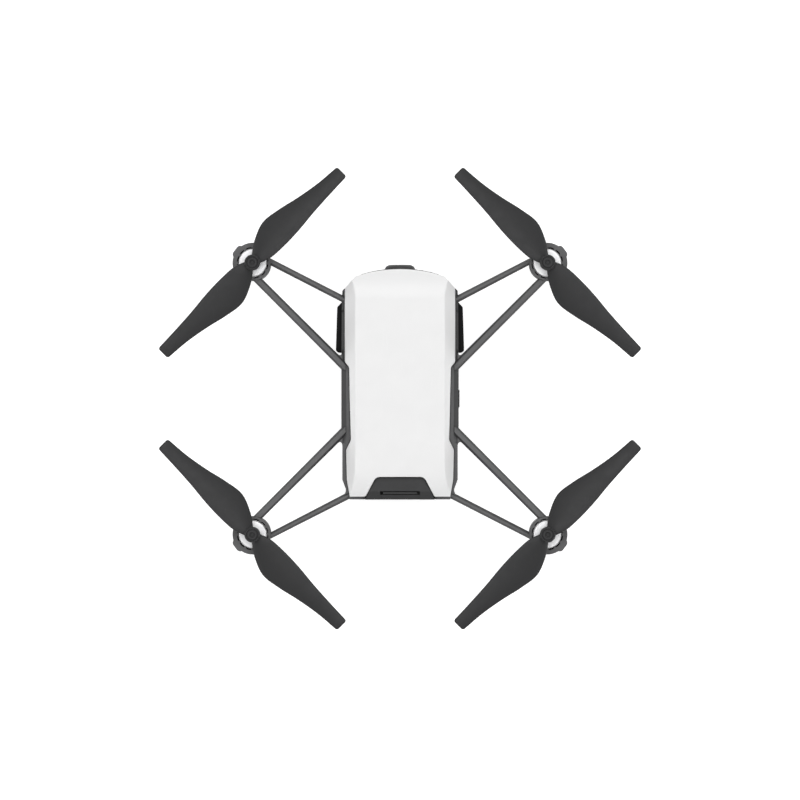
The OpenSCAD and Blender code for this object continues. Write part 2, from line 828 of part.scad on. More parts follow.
// End cap: a block that closes the bay and a tongue that fills the notch in the top cover.
module battery_end_cap() {
    color(dark_plastic) difference() {
        union() {
            slab(battery_z, cap_shoulder_z) translate([-battery_half - 0.1, battery_rear_y])
                square([battery_width + 0.2, frame_rear_y - battery_rear_y]);
            intersection() {
                slab(battery_z + battery_height, cap_top) notch_fill(0.2);
                block([-10.2, 20, 0], [10.2, frame_rear_y, craft_height]);
            }
        }
        // The top falls away to the rear, as the cover beside it does.
        rotate([90, 0, 90]) linear_extrude(30, center = true) polygon([
            [27.4, cap_top], [30, cap_top - 1], [30, cap_top + 2], [27.4, cap_top + 2],
        ]);
        // Finger grip: a slot across the top, and a deeper slope down to the rear edge behind it.
        block([-grip_half, grip_y, cap_top - grip_depth], [grip_half, grip_y + 1.05, craft_height]);
        translate([-grip_half, grip_y + 1, 0]) rotate([90, 0, 90]) linear_extrude(2 * grip_half) polygon([
            [0, cap_top - 0.5], [3, cap_top - 2.4], [3, cap_top + 1], [0, cap_top + 1],
        ]);
        // Hollow for a fingertip, low on the rear face.
        translate([0, frame_rear_y + 0.9, battery_z + 6]) rotate([0, 90, 0])
            cylinder(r = 2.2, h = 14, center = true);
    }
    // The ridge that stands in the slot.
    color(dark_plastic) translate([0, grip_y, cap_top]) block(
        [0.8 - grip_half, 0.25, -grip_depth - 0.1],
        [grip_half - 0.8, 0.85, -0.3]
    );
}

module battery_contacts() {
    color(copper) for (x = [-4.5 : 3 : 4.5])
        block([x - 0.6, battery_front_y - 0.4, battery_z + 3.4], [x + 0.6, battery_front_y, battery_z + 7.2]);
}

// ---------- motors ----------

module motor_can() {
    color(bright_metal) {
        difference() {
            disc(can_r, can_bottom + 0.8, can_top);
            disc(can_r - can_wall, can_bottom - 1, can_top - 0.8);
            disc(shaft_r + shaft_fit, can_bottom, can_top + 1);
        }
        tube(1.5, shaft_r + shaft_fit, can_top, can_top + 0.5);
    }
}

module motor_cap() {
    color(white_plastic) difference() {
        union() {
            disc(can_r - can_wall, can_bottom + 0.8, can_bottom + 1.8);
            disc(can_r - 0.1, can_bottom, can_bottom + 0.8);
        }
        disc(shaft_r + shaft_fit, can_bottom + 0.6, can_bottom + 3);
    }
}

module motor_magnet() {
    tube(2.3, shaft_r + 0.2, can_top - 14.8, can_top - 0.8);
}

module motor_rotor() {
    cup_bottom = can_bottom + 2.6;
    color(copper) difference() {
        disc(3.4, cup_bottom, can_top - 3);
        disc(2.7, cup_bottom + 1, can_top);
    }
    color(bright_metal) disc(shaft_r, can_bottom + 0.7, blade_z + 1.2);
}

// Soft foot under a motor: a hollow cone that the sleeve stands on.
module foot() {
    top = sleeve_bottom;
    color(dark_plastic) rotate_extrude() polygon([
        [0, 0], [2.4, 0], [3, 0.3], [3.3, 0.9], [3.5, 2.2], [4.7, top - 3], [sleeve_r, top - 1.6],
        [sleeve_r, top], [can_r - 0.05 - can_wall + 0.4, top], [can_r, top - 1.2], [3.6, top - 2.8],
        [2.4, 2.6], [0, 2.6],
    ]);
}

// ---------- propellers ----------

// Blade section at radius r: a thin cambered wing whose edges meet the planform in plan view.
function section(r, lead, trail) =
    let (
        outward = (r - 4) / (propeller_r - 4),
        pitch = mix(inner_pitch, tip_pitch, max(outward, 0)),
        thick = mix(1.15, 0.5, max(outward, 0)),
        camber = mix(0.5, 0.2, max(outward, 0)),
        chord = [0, 0.1, 0.3, 0.55, 0.8, 1],
        lift = [for (s = chord) 4 * camber * s * (1 - s)],
        half = [for (s = chord) 0.12 + thick * 0.95 * sqrt(s) * (1 - s)]
    )
    [for (side = [-1, 1], k = [0 : 5])
        let (i = side < 0 ? k : 5 - k, y = mix(-lead, trail, chord[i]))
            [r, y, -y * tan(pitch) + lift[i] + side * half[i]]];

module blade() {
    steps = 2;
    count = (len(blade_stations) - 1) * steps;
    outline = concat([for (k = [0 : count]) curve(blade_stations, k / steps)], blade_tip);
    skin([for (s = outline) section(s.x, s.y, s.z)]);
}

// A two-bladed propeller that turns clockwise from above; the other hand is its mirror image.
module propeller() {
    color(blade_plastic) difference() {
        union() {
            disc(hub_r, hub_bottom, craft_height);
            for (turn = [0, 180])
                translate([0, 0, blade_z]) rotate(turn) blade();
        }
        disc(shaft_r, hub_bottom - 1, blade_z + 1.2);
        disc(0.8, craft_height - 0.5, craft_height + 1);
    }
}

// Diagonal corners turn the same way: front left and rear right clockwise.
module corner_propeller(corner) {
    clockwise = corner.x * corner.y < 0;
    at_motor(corner) rotate(clockwise ? blade_angle : -blade_angle)
        mirror([0, clockwise ? 0 : 1, 0]) propeller();
}

module motor_leads(corner) {
    color(dark_plastic) at_corner(corner) wire(motor_lead_route, lead_r);
}

// ---------- assembly ----------

main_frame();
belly_cover();
board_deck();
nose_bezel();
top_cover();
antenna_cover(1);  // antenna_cover_left
antenna_cover(-1);  // antenna_cover_right
antenna(1);  // antenna_left
antenna(-1);  // antenna_right
antenna_leads();
main_board();
processor_shield();
power_switch();
power_button();
usb_port();
camera_module();
camera_lens();
camera_window();
camera_ribbon();
status_light();
sensor_board();
downward_camera();
range_sensor();
sensor_window();
board_screws();
belly_screws();
battery_connector();
battery_pack();
battery_end_cap();
battery_contacts();
at_motor(front_left) motor_can();  // motor_can_front_left
at_motor(front_right) motor_can();  // motor_can_front_right
at_motor(rear_left) motor_can();  // motor_can_rear_left
at_motor(rear_right) motor_can();  // motor_can_rear_right
at_motor(front_left) motor_cap();  // motor_cap_front_left
at_motor(front_right) motor_cap();  // motor_cap_front_right
at_motor(rear_left) motor_cap();  // motor_cap_rear_left
at_motor(rear_right) motor_cap();  // motor_cap_rear_right
color(bright_metal)  // motor_magnets
    for (corner = [front_left, front_right, rear_left, rear_right]) at_motor(corner) motor_magnet();
at_motor(front_left) motor_rotor();  // motor_rotor_front_left
at_motor(front_right) motor_rotor();  // motor_rotor_front_right
at_motor(rear_left) motor_rotor();  // motor_rotor_rear_left
at_motor(rear_right) motor_rotor();  // motor_rotor_rear_right
corner_propeller(front_left);  // propeller_front_left
corner_propeller(front_right);  // propeller_front_right
corner_propeller(rear_left);  // propeller_rear_left
corner_propeller(rear_right);  // propeller_rear_right
motor_leads(front_left);  // motor_leads_front_left
motor_leads(front_right);  // motor_leads_front_right
motor_leads(rear_left);  // motor_leads_rear_left
motor_leads(rear_right);  // motor_leads_rear_right
at_motor(front_left) foot();  // foot_front_left
at_motor(front_right) foot();  // foot_front_right
at_motor(rear_left) foot();  // foot_rear_left
at_motor(rear_right) foot();  // foot_rear_right
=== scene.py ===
# %% [markdown]
# # A small camera quadcopter, finished for the studio
# The working parts of the craft come first: they are the plain solids that fit and move together.
# This lesson gives each one its finished surface. Shapes that a part already has right are copied
# and given the small soft edges of a real moulding; shapes that need a better surface, such as
# blades and motor cans, are made afresh.

# %% Load the working parts
import json
import math

import bmesh
import bpy
from mathutils import Matrix, Vector


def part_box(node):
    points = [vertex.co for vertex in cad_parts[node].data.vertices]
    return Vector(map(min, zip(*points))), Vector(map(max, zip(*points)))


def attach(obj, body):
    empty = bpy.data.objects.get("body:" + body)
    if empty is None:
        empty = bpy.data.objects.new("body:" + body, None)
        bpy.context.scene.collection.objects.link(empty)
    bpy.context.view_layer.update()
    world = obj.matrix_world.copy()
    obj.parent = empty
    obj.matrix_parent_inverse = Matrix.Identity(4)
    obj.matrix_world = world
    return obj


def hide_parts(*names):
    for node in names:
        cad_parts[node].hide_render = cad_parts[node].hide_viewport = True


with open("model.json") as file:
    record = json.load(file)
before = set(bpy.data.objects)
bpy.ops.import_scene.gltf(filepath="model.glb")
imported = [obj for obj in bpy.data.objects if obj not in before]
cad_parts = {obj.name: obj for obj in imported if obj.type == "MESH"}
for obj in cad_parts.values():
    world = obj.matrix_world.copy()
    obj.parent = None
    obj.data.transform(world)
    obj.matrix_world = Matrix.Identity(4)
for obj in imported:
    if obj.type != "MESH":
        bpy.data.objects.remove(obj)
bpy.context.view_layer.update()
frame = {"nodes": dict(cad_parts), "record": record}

# %% [markdown]
# ## Sizes
# Blender works in metres and the craft is small, so sizes are written in millimetres and turned
# into metres once. The motor axes are read from the motor cans, so everything at a corner follows
# the working parts.

# %% Millimetres and corners
MM = 0.001
CORNERS = {"front_left": (1, -1), "front_right": (-1, -1), "rear_left": (1, 1), "rear_right": (-1, 1)}


def mm(x, y, z):
    """A place given in millimetres, as a vector in metres."""
    return Vector((x, y, z)) * MM


def middle(node):
    """The middle of a working part's box."""
    low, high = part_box(node)
    return (low + high) / 2


motor_axis = {corner: middle(f"motor_can_{corner}") for corner in CORNERS}
for corner, place in motor_axis.items():
    print(f"motor {corner}: x {place.x / MM:.1f} mm, y {place.y / MM:.1f} mm")

# %% [markdown]
# ## The camera and the studio
# A product picture from straight above is taken with a long lens from far away, so that nothing
# leans outwards. The camera is turned half round, because the nose of the craft points along minus
# Y and is the top of the picture.

# %% Camera
STAND_OFF = 1.998  # metres above the floor
LONG_LENS, SENSOR_WIDTH = 300, 36  # mm
FARTHEST = 20  # metres, past which nothing is drawn
PICTURE_CENTRE = 0.41  # mm from the middle of the craft towards its rear
camera_data = bpy.data.cameras.new("camera")
camera_data.lens = LONG_LENS
camera_data.sensor_width = SENSOR_WIDTH
camera_data.clip_end = FARTHEST
camera = bpy.data.objects.new("camera", camera_data)
camera.location = (0, PICTURE_CENTRE * MM, STAND_OFF)
camera.rotation_euler = (0, 0, math.pi)
bpy.context.scene.collection.objects.link(camera)
bpy.context.scene.camera = camera
bpy.context.scene.view_settings.view_transform = "Standard"
print(f"camera: {STAND_OFF:.2f} m up, {LONG_LENS} mm lens")

# %% [markdown]
# The light comes from large soft panels all round, none of them right overhead. Flat glossy parts
# mirror only the dim sky above them, so black stays dark, and the slanted sides of the cover turn a
# little greyer than its roof. The panel in front of the nose is the strongest: it makes the twist
# of the blades show, because a blade that leans towards it is lighter than one that leans away. The
# floor glows a little, as a table lit from below does.

# %% Panels, sky and floor
def add_panel(name, azimuth, elevation, distance, size, power):
    """A square soft light that looks at the craft from a compass direction and a height in degrees."""
    data = bpy.data.lights.new(name, "AREA")
    data.size = size
    data.energy = power
    panel = bpy.data.objects.new(name, data)
    turn, rise = math.radians(azimuth), math.radians(elevation)
    level = math.cos(rise)
    panel.location = Vector((math.sin(turn) * level, -math.cos(turn) * level, math.sin(rise))) * distance
    panel.rotation_euler = panel.location.to_track_quat("Z", "Y").to_euler()
    bpy.context.scene.collection.objects.link(panel)


PANEL_POWERS = {0: 3.6, 90: 3.1, 180: 0.9, 270: 3.1}  # watts of the panel at each compass direction
PANEL_ELEVATION = 63  # degrees
PANEL_DISTANCE, PANEL_SIZE = 1.2, 0.7  # metres
for azimuth, power in PANEL_POWERS.items():
    add_panel(f"panel_{azimuth}", azimuth, PANEL_ELEVATION, PANEL_DISTANCE, PANEL_SIZE, power)

SKY_STRENGTH = 0.40
world = bpy.data.worlds.new("studio")
world.use_nodes = True
sky = world.node_tree.nodes["Background"]
sky.inputs["Color"].default_value = (1, 1, 1, 1)
sky.inputs["Strength"].default_value = SKY_STRENGTH
bpy.context.scene.world = world
print("panels:", len(PANEL_POWERS), "with", sum(PANEL_POWERS.values()), "watts in all")

# %% [markdown]
# ## A small kit for surfaces
# Every finish is a node tree. These helpers add one node, a wavering value of a given size, and a
# range. The patterns are placed by object coordinates, and as every piece sits at the origin they
# are real millimetres.

# %% Node helpers
def add(tree, kind, inputs=None, **settings):
    """Adds a shader node; each input takes a value or the socket that feeds it."""
    made = tree.nodes.new("ShaderNode" + kind)
    for name, value in settings.items():
        setattr(made, name, value)
    for name, value in (inputs or {}).items():
        if isinstance(value, bpy.types.NodeSocket):
            tree.links.new(value, made.inputs[name])
        else:
            made.inputs[name].default_value = value
    return made


def start_finish(name, **shader_values):
    """A new material: returns it, its tree, its shader and the place of each point in metres."""
    material = bpy.data.materials.new(name)
    material.use_nodes = True
    tree = material.node_tree
    shader = tree.nodes["Principled BSDF"]
    for socket, value in shader_values.items():
        shader.inputs[socket.replace("_", " ")].default_value = value
    place = add(tree, "TexCoord").outputs["Object"]
    return material, tree, shader, place


def waver(tree, place, size, detail=2.0, stretch=(1, 1, 1)):
    """A value about 0.5 that changes over the given size in millimetres, longer where stretch is above 1."""
    scale = [1 / (size * MM * s) for s in stretch]
    moved = add(tree, "Mapping", {"Vector": place, "Scale": scale}).outputs[0]
    return add(tree, "TexNoise", {"Vector": moved, "Scale": 1.0, "Detail": detail}).outputs[0]


def spread(tree, value, low, high, start=0.3, end=0.7):
    """Takes a value from start to end and gives one from low to high."""
    settings = {"Value": value, "From Min": start, "From Max": end, "To Min": low, "To Max": high}
    return add(tree, "MapRange", settings).outputs[0]


def mix_colour(tree, share, first, second):
    """The first colour where share is 0 and the second where it is 1."""
    inputs = {0: share}
    for index, colour in ((6, first), (7, second)):
        inputs[index] = colour if isinstance(colour, bpy.types.NodeSocket) else (*colour, 1)
    return add(tree, "Mix", inputs, data_type="RGBA").outputs[2]


def raise_by(tree, height, depth, below=None):
    """A bump of the given depth in millimetres, laid over another one if there is one."""
    inputs = {"Height": height, "Distance": depth * MM, "Strength": 1.0}
    if below:
        inputs["Normal"] = below
    return add(tree, "Bump", inputs).outputs[0]


def shade(colour, factor):
    """A colour made darker or paler."""
    return tuple(min(1.0, part * factor) for part in colour)


# %% [markdown]
# ## The floor
# The floor is matt card. Its own faint glow keeps the picture clean and pale behind the thin arms,
# and it has the fibres of card so that it isn't one flat value. Seen from below it is clear, so
# that the belly can be looked at too: the shader is swapped for a transparent one on the back of
# the faces.

# %% Floor
FLOOR_GLOW = 0.62
FLOOR_RADIUS = 5  # metres, so that its edge is never seen
FIBRE_SIZE = 3  # mm
CARD_SHADES = ((0.80, 0.80, 0.80), (0.84, 0.84, 0.84))
card, tree, shader, place = start_finish("floor_card", Roughness=0.9, Specular_IOR_Level=0.1)
fibres = waver(tree, place, FIBRE_SIZE, detail=4)
tree.links.new(mix_colour(tree, spread(tree, fibres, 0, 1), *CARD_SHADES), shader.inputs["Base Color"])
shader.inputs["Emission Color"].default_value = (1, 1, 1, 1)
shader.inputs["Emission Strength"].default_value = FLOOR_GLOW
from_below = add(tree, "NewGeometry").outputs["Backfacing"]
clear_back = add(tree, "BsdfTransparent").outputs[0]
two_sided = add(tree, "MixShader", {0: from_below, 1: shader.outputs[0], 2: clear_back}).outputs[0]
tree.links.new(two_sided, tree.nodes["Material Output"].inputs["Surface"])

bm = bmesh.new()
bmesh.ops.create_circle(bm, cap_ends=True, segments=96, radius=FLOOR_RADIUS)
floor_mesh = bpy.data.meshes.new("floor")
bm.to_mesh(floor_mesh)
bm.free()
floor = bpy.data.objects.new("floor", floor_mesh)
floor_mesh.materials.append(card)
bpy.context.scene.collection.objects.link(floor)
print(f"floor: {2 * FLOOR_RADIUS} m across")

# %% [markdown]
# ## Moulded plastic
# Most of the craft is injection-moulded plastic. Its steel mould is eroded by sparks, which leaves
# a fine grain; the colour wavers faintly where the melt has cooled at different speeds, and
# handling leaves small rubbed streaks that shine more than the grain. On the dark frame the sides
# are painted darker than the tops, as painted shade for light that falls from above: the upward
# part of each face's normal tells which they are. Only the colours, the gloss and the size of the
# grain differ from part to part, so one function makes them all.

# %% Plastics
FINISHES = {}
CLOUD_SIZE, PATCH_SIZE, FLOW_SIZE = 7, 2.5, 12  # mm, of the colour, the gloss and the slow waves
STREAK_WIDTH, STREAK_STRETCH = 0.5, (1, 14, 1)  # mm, and how many times longer along each axis
STREAK_FROM, STREAK_TO = 0.60, 0.72  # of the noise: only its peaks are streaks
STREAK_COLOUR, STREAK_POLISH = 0.35, 0.08  # how far a streak changes the colour and the roughness
FLOW_DEPTH = 0.05  # mm
# Painted shade on sides: below the first value of the normal's upward part a face takes the darker copy of
# the colour, above the second it keeps the paler one.
PAINTED_SHADE_FULL_BELOW, PAINTED_SHADE_NONE_ABOVE = 0.89, 0.97  # upward part of the normal where the darker and the paler colour begin


def moulded(slot, colour, gloss_low, gloss_high, grain=0.14, relief=0.006, mottle=0.05, painted_side_shade=1.0,
            **shader_values):
    """A moulded plastic: colour, the range of its roughness, and the size and depth of its grain in mm.

    Faces that don't look straight up have painted shade: their colour times the factor given for the sides.
    """
    material, tree, shader, place = start_finish(slot, **shader_values)
    clouds = waver(tree, place, CLOUD_SIZE, detail=3)
    upwards = add(tree, "SeparateXYZ", {0: add(tree, "TexCoord").outputs["Normal"]}).outputs[2]
    base = mix_colour(tree, spread(tree, clouds, 0, 1), shade(colour, 1 - mottle), shade(colour, 1 + mottle))
    streaks = waver(tree, place, STREAK_WIDTH, detail=4, stretch=STREAK_STRETCH)
    rubbed = spread(tree, streaks, 0, 1, STREAK_FROM, STREAK_TO)
    base = mix_colour(tree, spread(tree, rubbed, 0, STREAK_COLOUR, 0, 1), base, shade(colour, 1 + 3 * mottle))
    # Painted shade: faces that lean away from straight up take a darker copy of the colour, standing in for
    # light that falls from above.
    base = mix_colour(tree, spread(tree, upwards, 1, 0, PAINTED_SHADE_FULL_BELOW, PAINTED_SHADE_NONE_ABOVE), base, shade(colour, painted_side_shade))
    tree.links.new(base, shader.inputs["Base Color"])
    patches = spread(tree, waver(tree, place, PATCH_SIZE), gloss_low, gloss_high)
    polished = spread(tree, rubbed, 0, STREAK_POLISH, 0, 1)
    roughness = add(tree, "Math", {0: patches, 1: polished}, operation="SUBTRACT").outputs[0]
    tree.links.new(roughness, shader.inputs["Roughness"])
    sparks = waver(tree, place, grain, detail=2)
    flow = waver(tree, place, FLOW_SIZE, detail=1)
    bump = raise_by(tree, sparks, relief, raise_by(tree, flow, FLOW_DEPTH))
    tree.links.new(bump, shader.inputs["Normal"])
    FINISHES[slot] = material


moulded("white_plastic", (0.835, 0.835, 0.835), 0.34, 0.42, grain=0.10, relief=0.002, mottle=0.012,
        Coat_Weight=0.15, Coat_Roughness=0.2)
# The frame's sides get painted shade: 0.42 times the colour of its tops.
moulded("frame_plastic", (0.118, 0.118, 0.120), 0.50, 0.64, relief=0.008, painted_side_shade=0.42, Specular_IOR_Level=0.3)
moulded("inner_plastic", (0.03, 0.03, 0.032), 0.5, 0.62)
moulded("black_plastic", (0.0025, 0.0025, 0.0028), 0.36, 0.48, grain=0.2, relief=0.002,
        Specular_IOR_Level=0.12)
moulded("cap_plastic", (0.036, 0.036, 0.037), 0.5, 0.62, relief=0.008, Specular_IOR_Level=0.3)
moulded("blade_plastic", (0.030, 0.030, 0.031), 0.46, 0.58, grain=0.18, relief=0.004, Specular_IOR_Level=0.28)
moulded("motor_end_plastic", (0.60, 0.58, 0.52), 0.45, 0.55)
moulded("wire_sleeve", (0.02, 0.02, 0.022), 0.35, 0.5, grain=0.3, relief=0.003)
moulded("wire_sleeve_red", (0.20, 0.018, 0.016), 0.35, 0.5, grain=0.3, relief=0.003)
print("plastics:", ", ".join(FINISHES))

# %% [markdown]
# ## Rubber
# The feet are soft rubber: fully matt, and dusty towards the ground. The dust could be painted on
# by hand, but it always gathers low down, so the height of each point drives it and a fine noise
# breaks it up.

# %% Rubber
DUST_HEIGHT = 3.0  # mm above the ground, where the dust ends
RUBBER, DUST = (0.025, 0.025, 0.026), (0.16, 0.15, 0.135)

foot_rubber, tree, shader, place = start_finish("foot_rubber", Specular_IOR_Level=0.3)
height = add(tree, "SeparateXYZ", {0: place}).outputs[2]
dust = spread(tree, height, 1, 0, 0, DUST_HEIGHT * MM)
patchy = add(tree, "Math", {0: dust, 1: waver(tree, place, 0.9, detail=5)}, operation="MULTIPLY").outputs[0]
tree.links.new(mix_colour(tree, patchy, RUBBER, DUST), shader.inputs["Base Color"])
tree.links.new(spread(tree, waver(tree, place, 1.5), 0.78, 0.92), shader.inputs["Roughness"])
tree.links.new(raise_by(tree, waver(tree, place, 0.16, detail=3), 0.012), shader.inputs["Normal"])
FINISHES["foot_rubber"] = foot_rubber

# %% [markdown]
# ## Shrink film
# The battery is wrapped in shrink film, which is glossy, thin and never quite flat. A stretched
# noise gives the long soft wrinkles that run round the pack, and a slower one lets the film darken
# where it lies closer.

# %% Shrink film
FILM_SHADES = ((0.035, 0.036, 0.04), (0.055, 0.056, 0.062))
battery_wrap, tree, shader, place = start_finish("battery_wrap", Coat_Weight=0.3, Coat_Roughness=0.15)
film = waver(tree, place, 9, detail=3)
tree.links.new(mix_colour(tree, spread(tree, film, 0, 1), *FILM_SHADES), shader.inputs["Base Color"])
tree.links.new(spread(tree, film, 0.25, 0.4), shader.inputs["Roughness"])
wrinkles = waver(tree, place, 1.1, detail=3, stretch=(5, 0.6, 1))
tree.links.new(raise_by(tree, wrinkles, 0.06), shader.inputs["Normal"])
FINISHES["battery_wrap"] = battery_wrap

# %% [markdown]
# ## Circuit boards
# A board is lacquered over its copper tracks. Modelling each track would take thousands of faces
# for lines that are a tenth of a millimetre wide, so a brick pattern of thin lines is raised and
# tinted, and a pattern of round cells adds plated pads between them.

# %% Circuit boards
TRACK_WIDTH, TRACK_LENGTH, TRACK_PITCH = 0.09, 3.1, 0.7  # mm
LACQUER, TRACK_TINT, PLATING = (0.004, 0.030, 0.018), (0.012, 0.075, 0.040), (0.55, 0.40, 0.16)
circuit_board, tree, shader, place = start_finish("circuit_board", Coat_Weight=0.4, Coat_Roughness=0.1)
in_mm = add(tree, "Mapping", {"Vector": place, "Scale": (1 / MM,) * 3}).outputs[0]
track_lines = {"Vector": in_mm, "Scale": 1.0, "Mortar Size": TRACK_WIDTH, "Brick Width": TRACK_LENGTH,
               "Row Height": TRACK_PITCH, "Mortar Smooth": 0.2, "Color1": (0, 0, 0, 1),
               "Color2": (0, 0, 0, 1), "Mortar": (1, 1, 1, 1)}
tracks = add(tree, "TexBrick", track_lines, offset=0.37).outputs[0]
pads = add(tree, "TexVoronoi", {"Vector": in_mm, "Scale": 0.75}).outputs["Distance"]
pads = spread(tree, pads, 1, 0, 0.16, 0.20)
board = mix_colour(tree, tracks, LACQUER, TRACK_TINT)
tree.links.new(mix_colour(tree, pads, board, PLATING), shader.inputs["Base Color"])
tree.links.new(spread(tree, waver(tree, place, 1.5), 0.3, 0.42), shader.inputs["Roughness"])
tree.links.new(pads, shader.inputs["Metallic"])
tree.links.new(raise_by(tree, tracks, 0.03), shader.inputs["Normal"])
FINISHES["circuit_board"] = circuit_board
print("finishes so far:", len(FINISHES))

# %% [markdown]
# ## Metals
# Metal here is thin drawn, rolled or plated stock. What tells it apart from grey plastic is the
# direction of its fine lines: along the drawing of a can, or round the axis on the end of a turned
# part. The lines change the gloss and the surface a little. Small tarnished patches keep the colour
# from being flat.

# %% Metals
def metal(slot, colour, gloss_low, gloss_high, lines=(1, 1, 30), line_size=0.09, relief=0.003, tarnish=0.1):
    """A metal with fine lines drawn out along the axis where lines is above 1."""
    material, tree, shader, place = start_finish(slot, Metallic=1.0)
    stain = spread(tree, waver(tree, place, 2.2, detail=4), 0, 1, 0.45, 0.8)
    tree.links.new(mix_colour(tree, stain, colour, shade(colour, 1 - tarnish)), shader.inputs["Base Color"])
    drawn = waver(tree, place, line_size, detail=2, stretch=lines)
    tree.links.new(spread(tree, drawn, gloss_low, gloss_high), shader.inputs["Roughness"])
    tree.links.new(raise_by(tree, drawn, relief), shader.inputs["Normal"])
    FINISHES[slot] = material
    return tree, shader, place, drawn


metal("contact_metal", (0.83, 0.62, 0.28), 0.2, 0.35)
metal("copper_strip", (0.72, 0.38, 0.20), 0.3, 0.45, lines=(1, 20, 1), tarnish=0.3)
metal("magnet_metal", (0.50, 0.51, 0.54), 0.25, 0.4)
metal("shield_metal", (0.62, 0.62, 0.60), 0.28, 0.42, lines=(25, 1, 1), tarnish=0.15)
metal("screw_steel", (0.34, 0.34, 0.36), 0.3, 0.45, lines=(1, 1, 1), line_size=0.2, tarnish=0.25)
print("finishes so far:", len(FINISHES))

# %% [markdown]
# The end of a motor can is turned, so its lines run round the shaft. All four motors share one
# finish: folding the object coordinates at both middle planes puts every motor at the same place,
# and the distance from its shaft then drives the lines. The can is plated and etched to a milky
# satin that spreads light as paint would, so it is only partly metallic. The windings are fine
# copper wire laid at a slant and varnished.

# %% Motor metals
def from_motor_axis(tree, place):
    """Distance in metres of each point from the axis of its own motor."""
    folded = add(tree, "VectorMath", {0: place}, operation="ABSOLUTE").outputs[0]
    axis = (abs(motor_axis["front_left"].x), abs(motor_axis["front_left"].y), 0)
    offset = add(tree, "VectorMath", {0: folded, 1: axis}, operation="SUBTRACT").outputs[0]
    flat = add(tree, "VectorMath", {0: offset, 1: (1, 1, 0)}, operation="MULTIPLY").outputs[0]
    return add(tree, "VectorMath", {0: flat}, operation="LENGTH").outputs["Value"]


RING_SIZE, RING_DEPTH = 0.05, 0.002  # mm
SATIN_METALLIC = 0.45
tree, shader, place, drawn = metal("motor_metal", (0.93, 0.93, 0.94), 0.42, 0.55, tarnish=0.04)
shader.inputs["Metallic"].default_value = SATIN_METALLIC
radius = from_motor_axis(tree, place)
ring_noise = {"W": radius, "Scale": 1 / (RING_SIZE * MM), "Detail": 1.0}
rings = add(tree, "TexNoise", ring_noise, noise_dimensions="1D").outputs[0]
turned_lines = raise_by(tree, rings, RING_DEPTH, raise_by(tree, drawn, RING_DEPTH))
tree.links.new(turned_lines, shader.inputs["Normal"])

WIRE_PITCH, WIRE_RELIEF = 0.12, 0.03  # mm
WIRE_SLANT = (0.5, 0.5, 0)  # radians
VARNISH = 0.6
tree, shader, place, drawn = metal("winding_copper", (0.70, 0.33, 0.15), 0.22, 0.36)
slanted = {"Vector": place, "Rotation": WIRE_SLANT, "Scale": (1 / (WIRE_PITCH * MM),) * 3}
slant = add(tree, "Mapping", slanted).outputs[0]
bands = {"Vector": slant, "Scale": 0.31, "Distortion": 0.4}
wires = add(tree, "TexWave", bands, bands_direction="Z").outputs[1]
tree.links.new(raise_by(tree, wires, WIRE_RELIEF), shader.inputs["Normal"])
shader.inputs["Coat Weight"].default_value = VARNISH

# %% [markdown]
# ## Glass, dark windows and the light pipe
# The lens has a coating that tints its reflection, and it sits behind a window of faintly grey
# glass. The window of the sensors below is smoked sheet that hides what is behind it. The light
# pipe is milky: light goes in and spreads. None of them is a flat value either: a breath of haze
# changes the gloss, and there is the faintest ripple.

# %% Clear materials
HAZE_SIZE, RIPPLE_SIZE, RIPPLE_DEPTH = 1.2, 3, 0.01  # mm
HAZE_TINT = 1.2  # times the colour, where the haze is thickest


def clear(slot, colour, haze_low, haze_high, **shader_values):
    """Glass or a clear plastic, with the range of its roughness."""
    material, tree, shader, place = start_finish(slot, **shader_values)
    haze = waver(tree, place, HAZE_SIZE, detail=4)
    tint = mix_colour(tree, spread(tree, haze, 0, 1), colour, shade(colour, HAZE_TINT))
    tree.links.new(tint, shader.inputs["Base Color"])
    tree.links.new(spread(tree, haze, haze_low, haze_high), shader.inputs["Roughness"])
    tree.links.new(raise_by(tree, waver(tree, place, RIPPLE_SIZE), RIPPLE_DEPTH), shader.inputs["Normal"])
    FINISHES[slot] = material


clear("lens_glass", (0.07, 0.05, 0.15), 0.02, 0.06, Transmission_Weight=0.75, IOR=1.6, Coat_Weight=1.0,
      Coat_Roughness=0.02, Specular_Tint=(0.65, 0.55, 1.0, 1))
clear("dark_window", (0.004, 0.004, 0.005), 0.04, 0.1, Specular_IOR_Level=0.25, Coat_Weight=0.1,
      Coat_Roughness=0.03)
clear("camera_glass", (0.62, 0.64, 0.66), 0.02, 0.05, Transmission_Weight=1.0, IOR=1.45)
clear("light_pipe", (0.75, 0.76, 0.74), 0.25, 0.4, Transmission_Weight=0.35, Subsurface_Weight=0.4,
      Subsurface_Radius=(0.0015, 0.0015, 0.0015))
print("finishes:", len(FINISHES))

# %% [markdown]
# ## From a working part to a moulded one
# A working part has knife-sharp edges. The steps that soften it: take its triangles into a bmesh,
# merge the corners that the triangles share, dissolve the lines inside flat faces so that only real
# edges stay, then bevel those. A subdivision surface would round the flats as well, so a bevel is
# right for hard moulded shapes. Very short edges are collapsed first, and an edge that ends beside
# another short one is left sharp, or the bevels would cross there.

# %% Soft edges
SAME_PLACE = 0.002  # mm, the distance at which two corners are one
FLAT_ANGLE = 0.6  # degrees, up to which two faces are one
ROOM = 2.2  # bevel widths that an edge needs


def merged(node, collapse=0.05):
    """A copy of a working part's surface, with edges shorter than collapse (mm) closed up."""
    bm = bmesh.new()
    bm.from_mesh(frame["nodes"][node].data)
    bmesh.ops.remove_doubles(bm, verts=bm.verts, dist=SAME_PLACE * MM)
    bmesh.ops.dissolve_limit(bm, angle_limit=math.radians(FLAT_ANGLE), verts=bm.verts, edges=bm.edges)
    bmesh.ops.remove_doubles(bm, verts=bm.verts, dist=collapse * MM)
    return bm


def has_room(edge, width):
    """Whether every edge that meets this one is long enough for two bevels of a width in mm."""
    return all(near.calc_length() > ROOM * width * MM for vert in edge.verts for near in vert.link_edges)


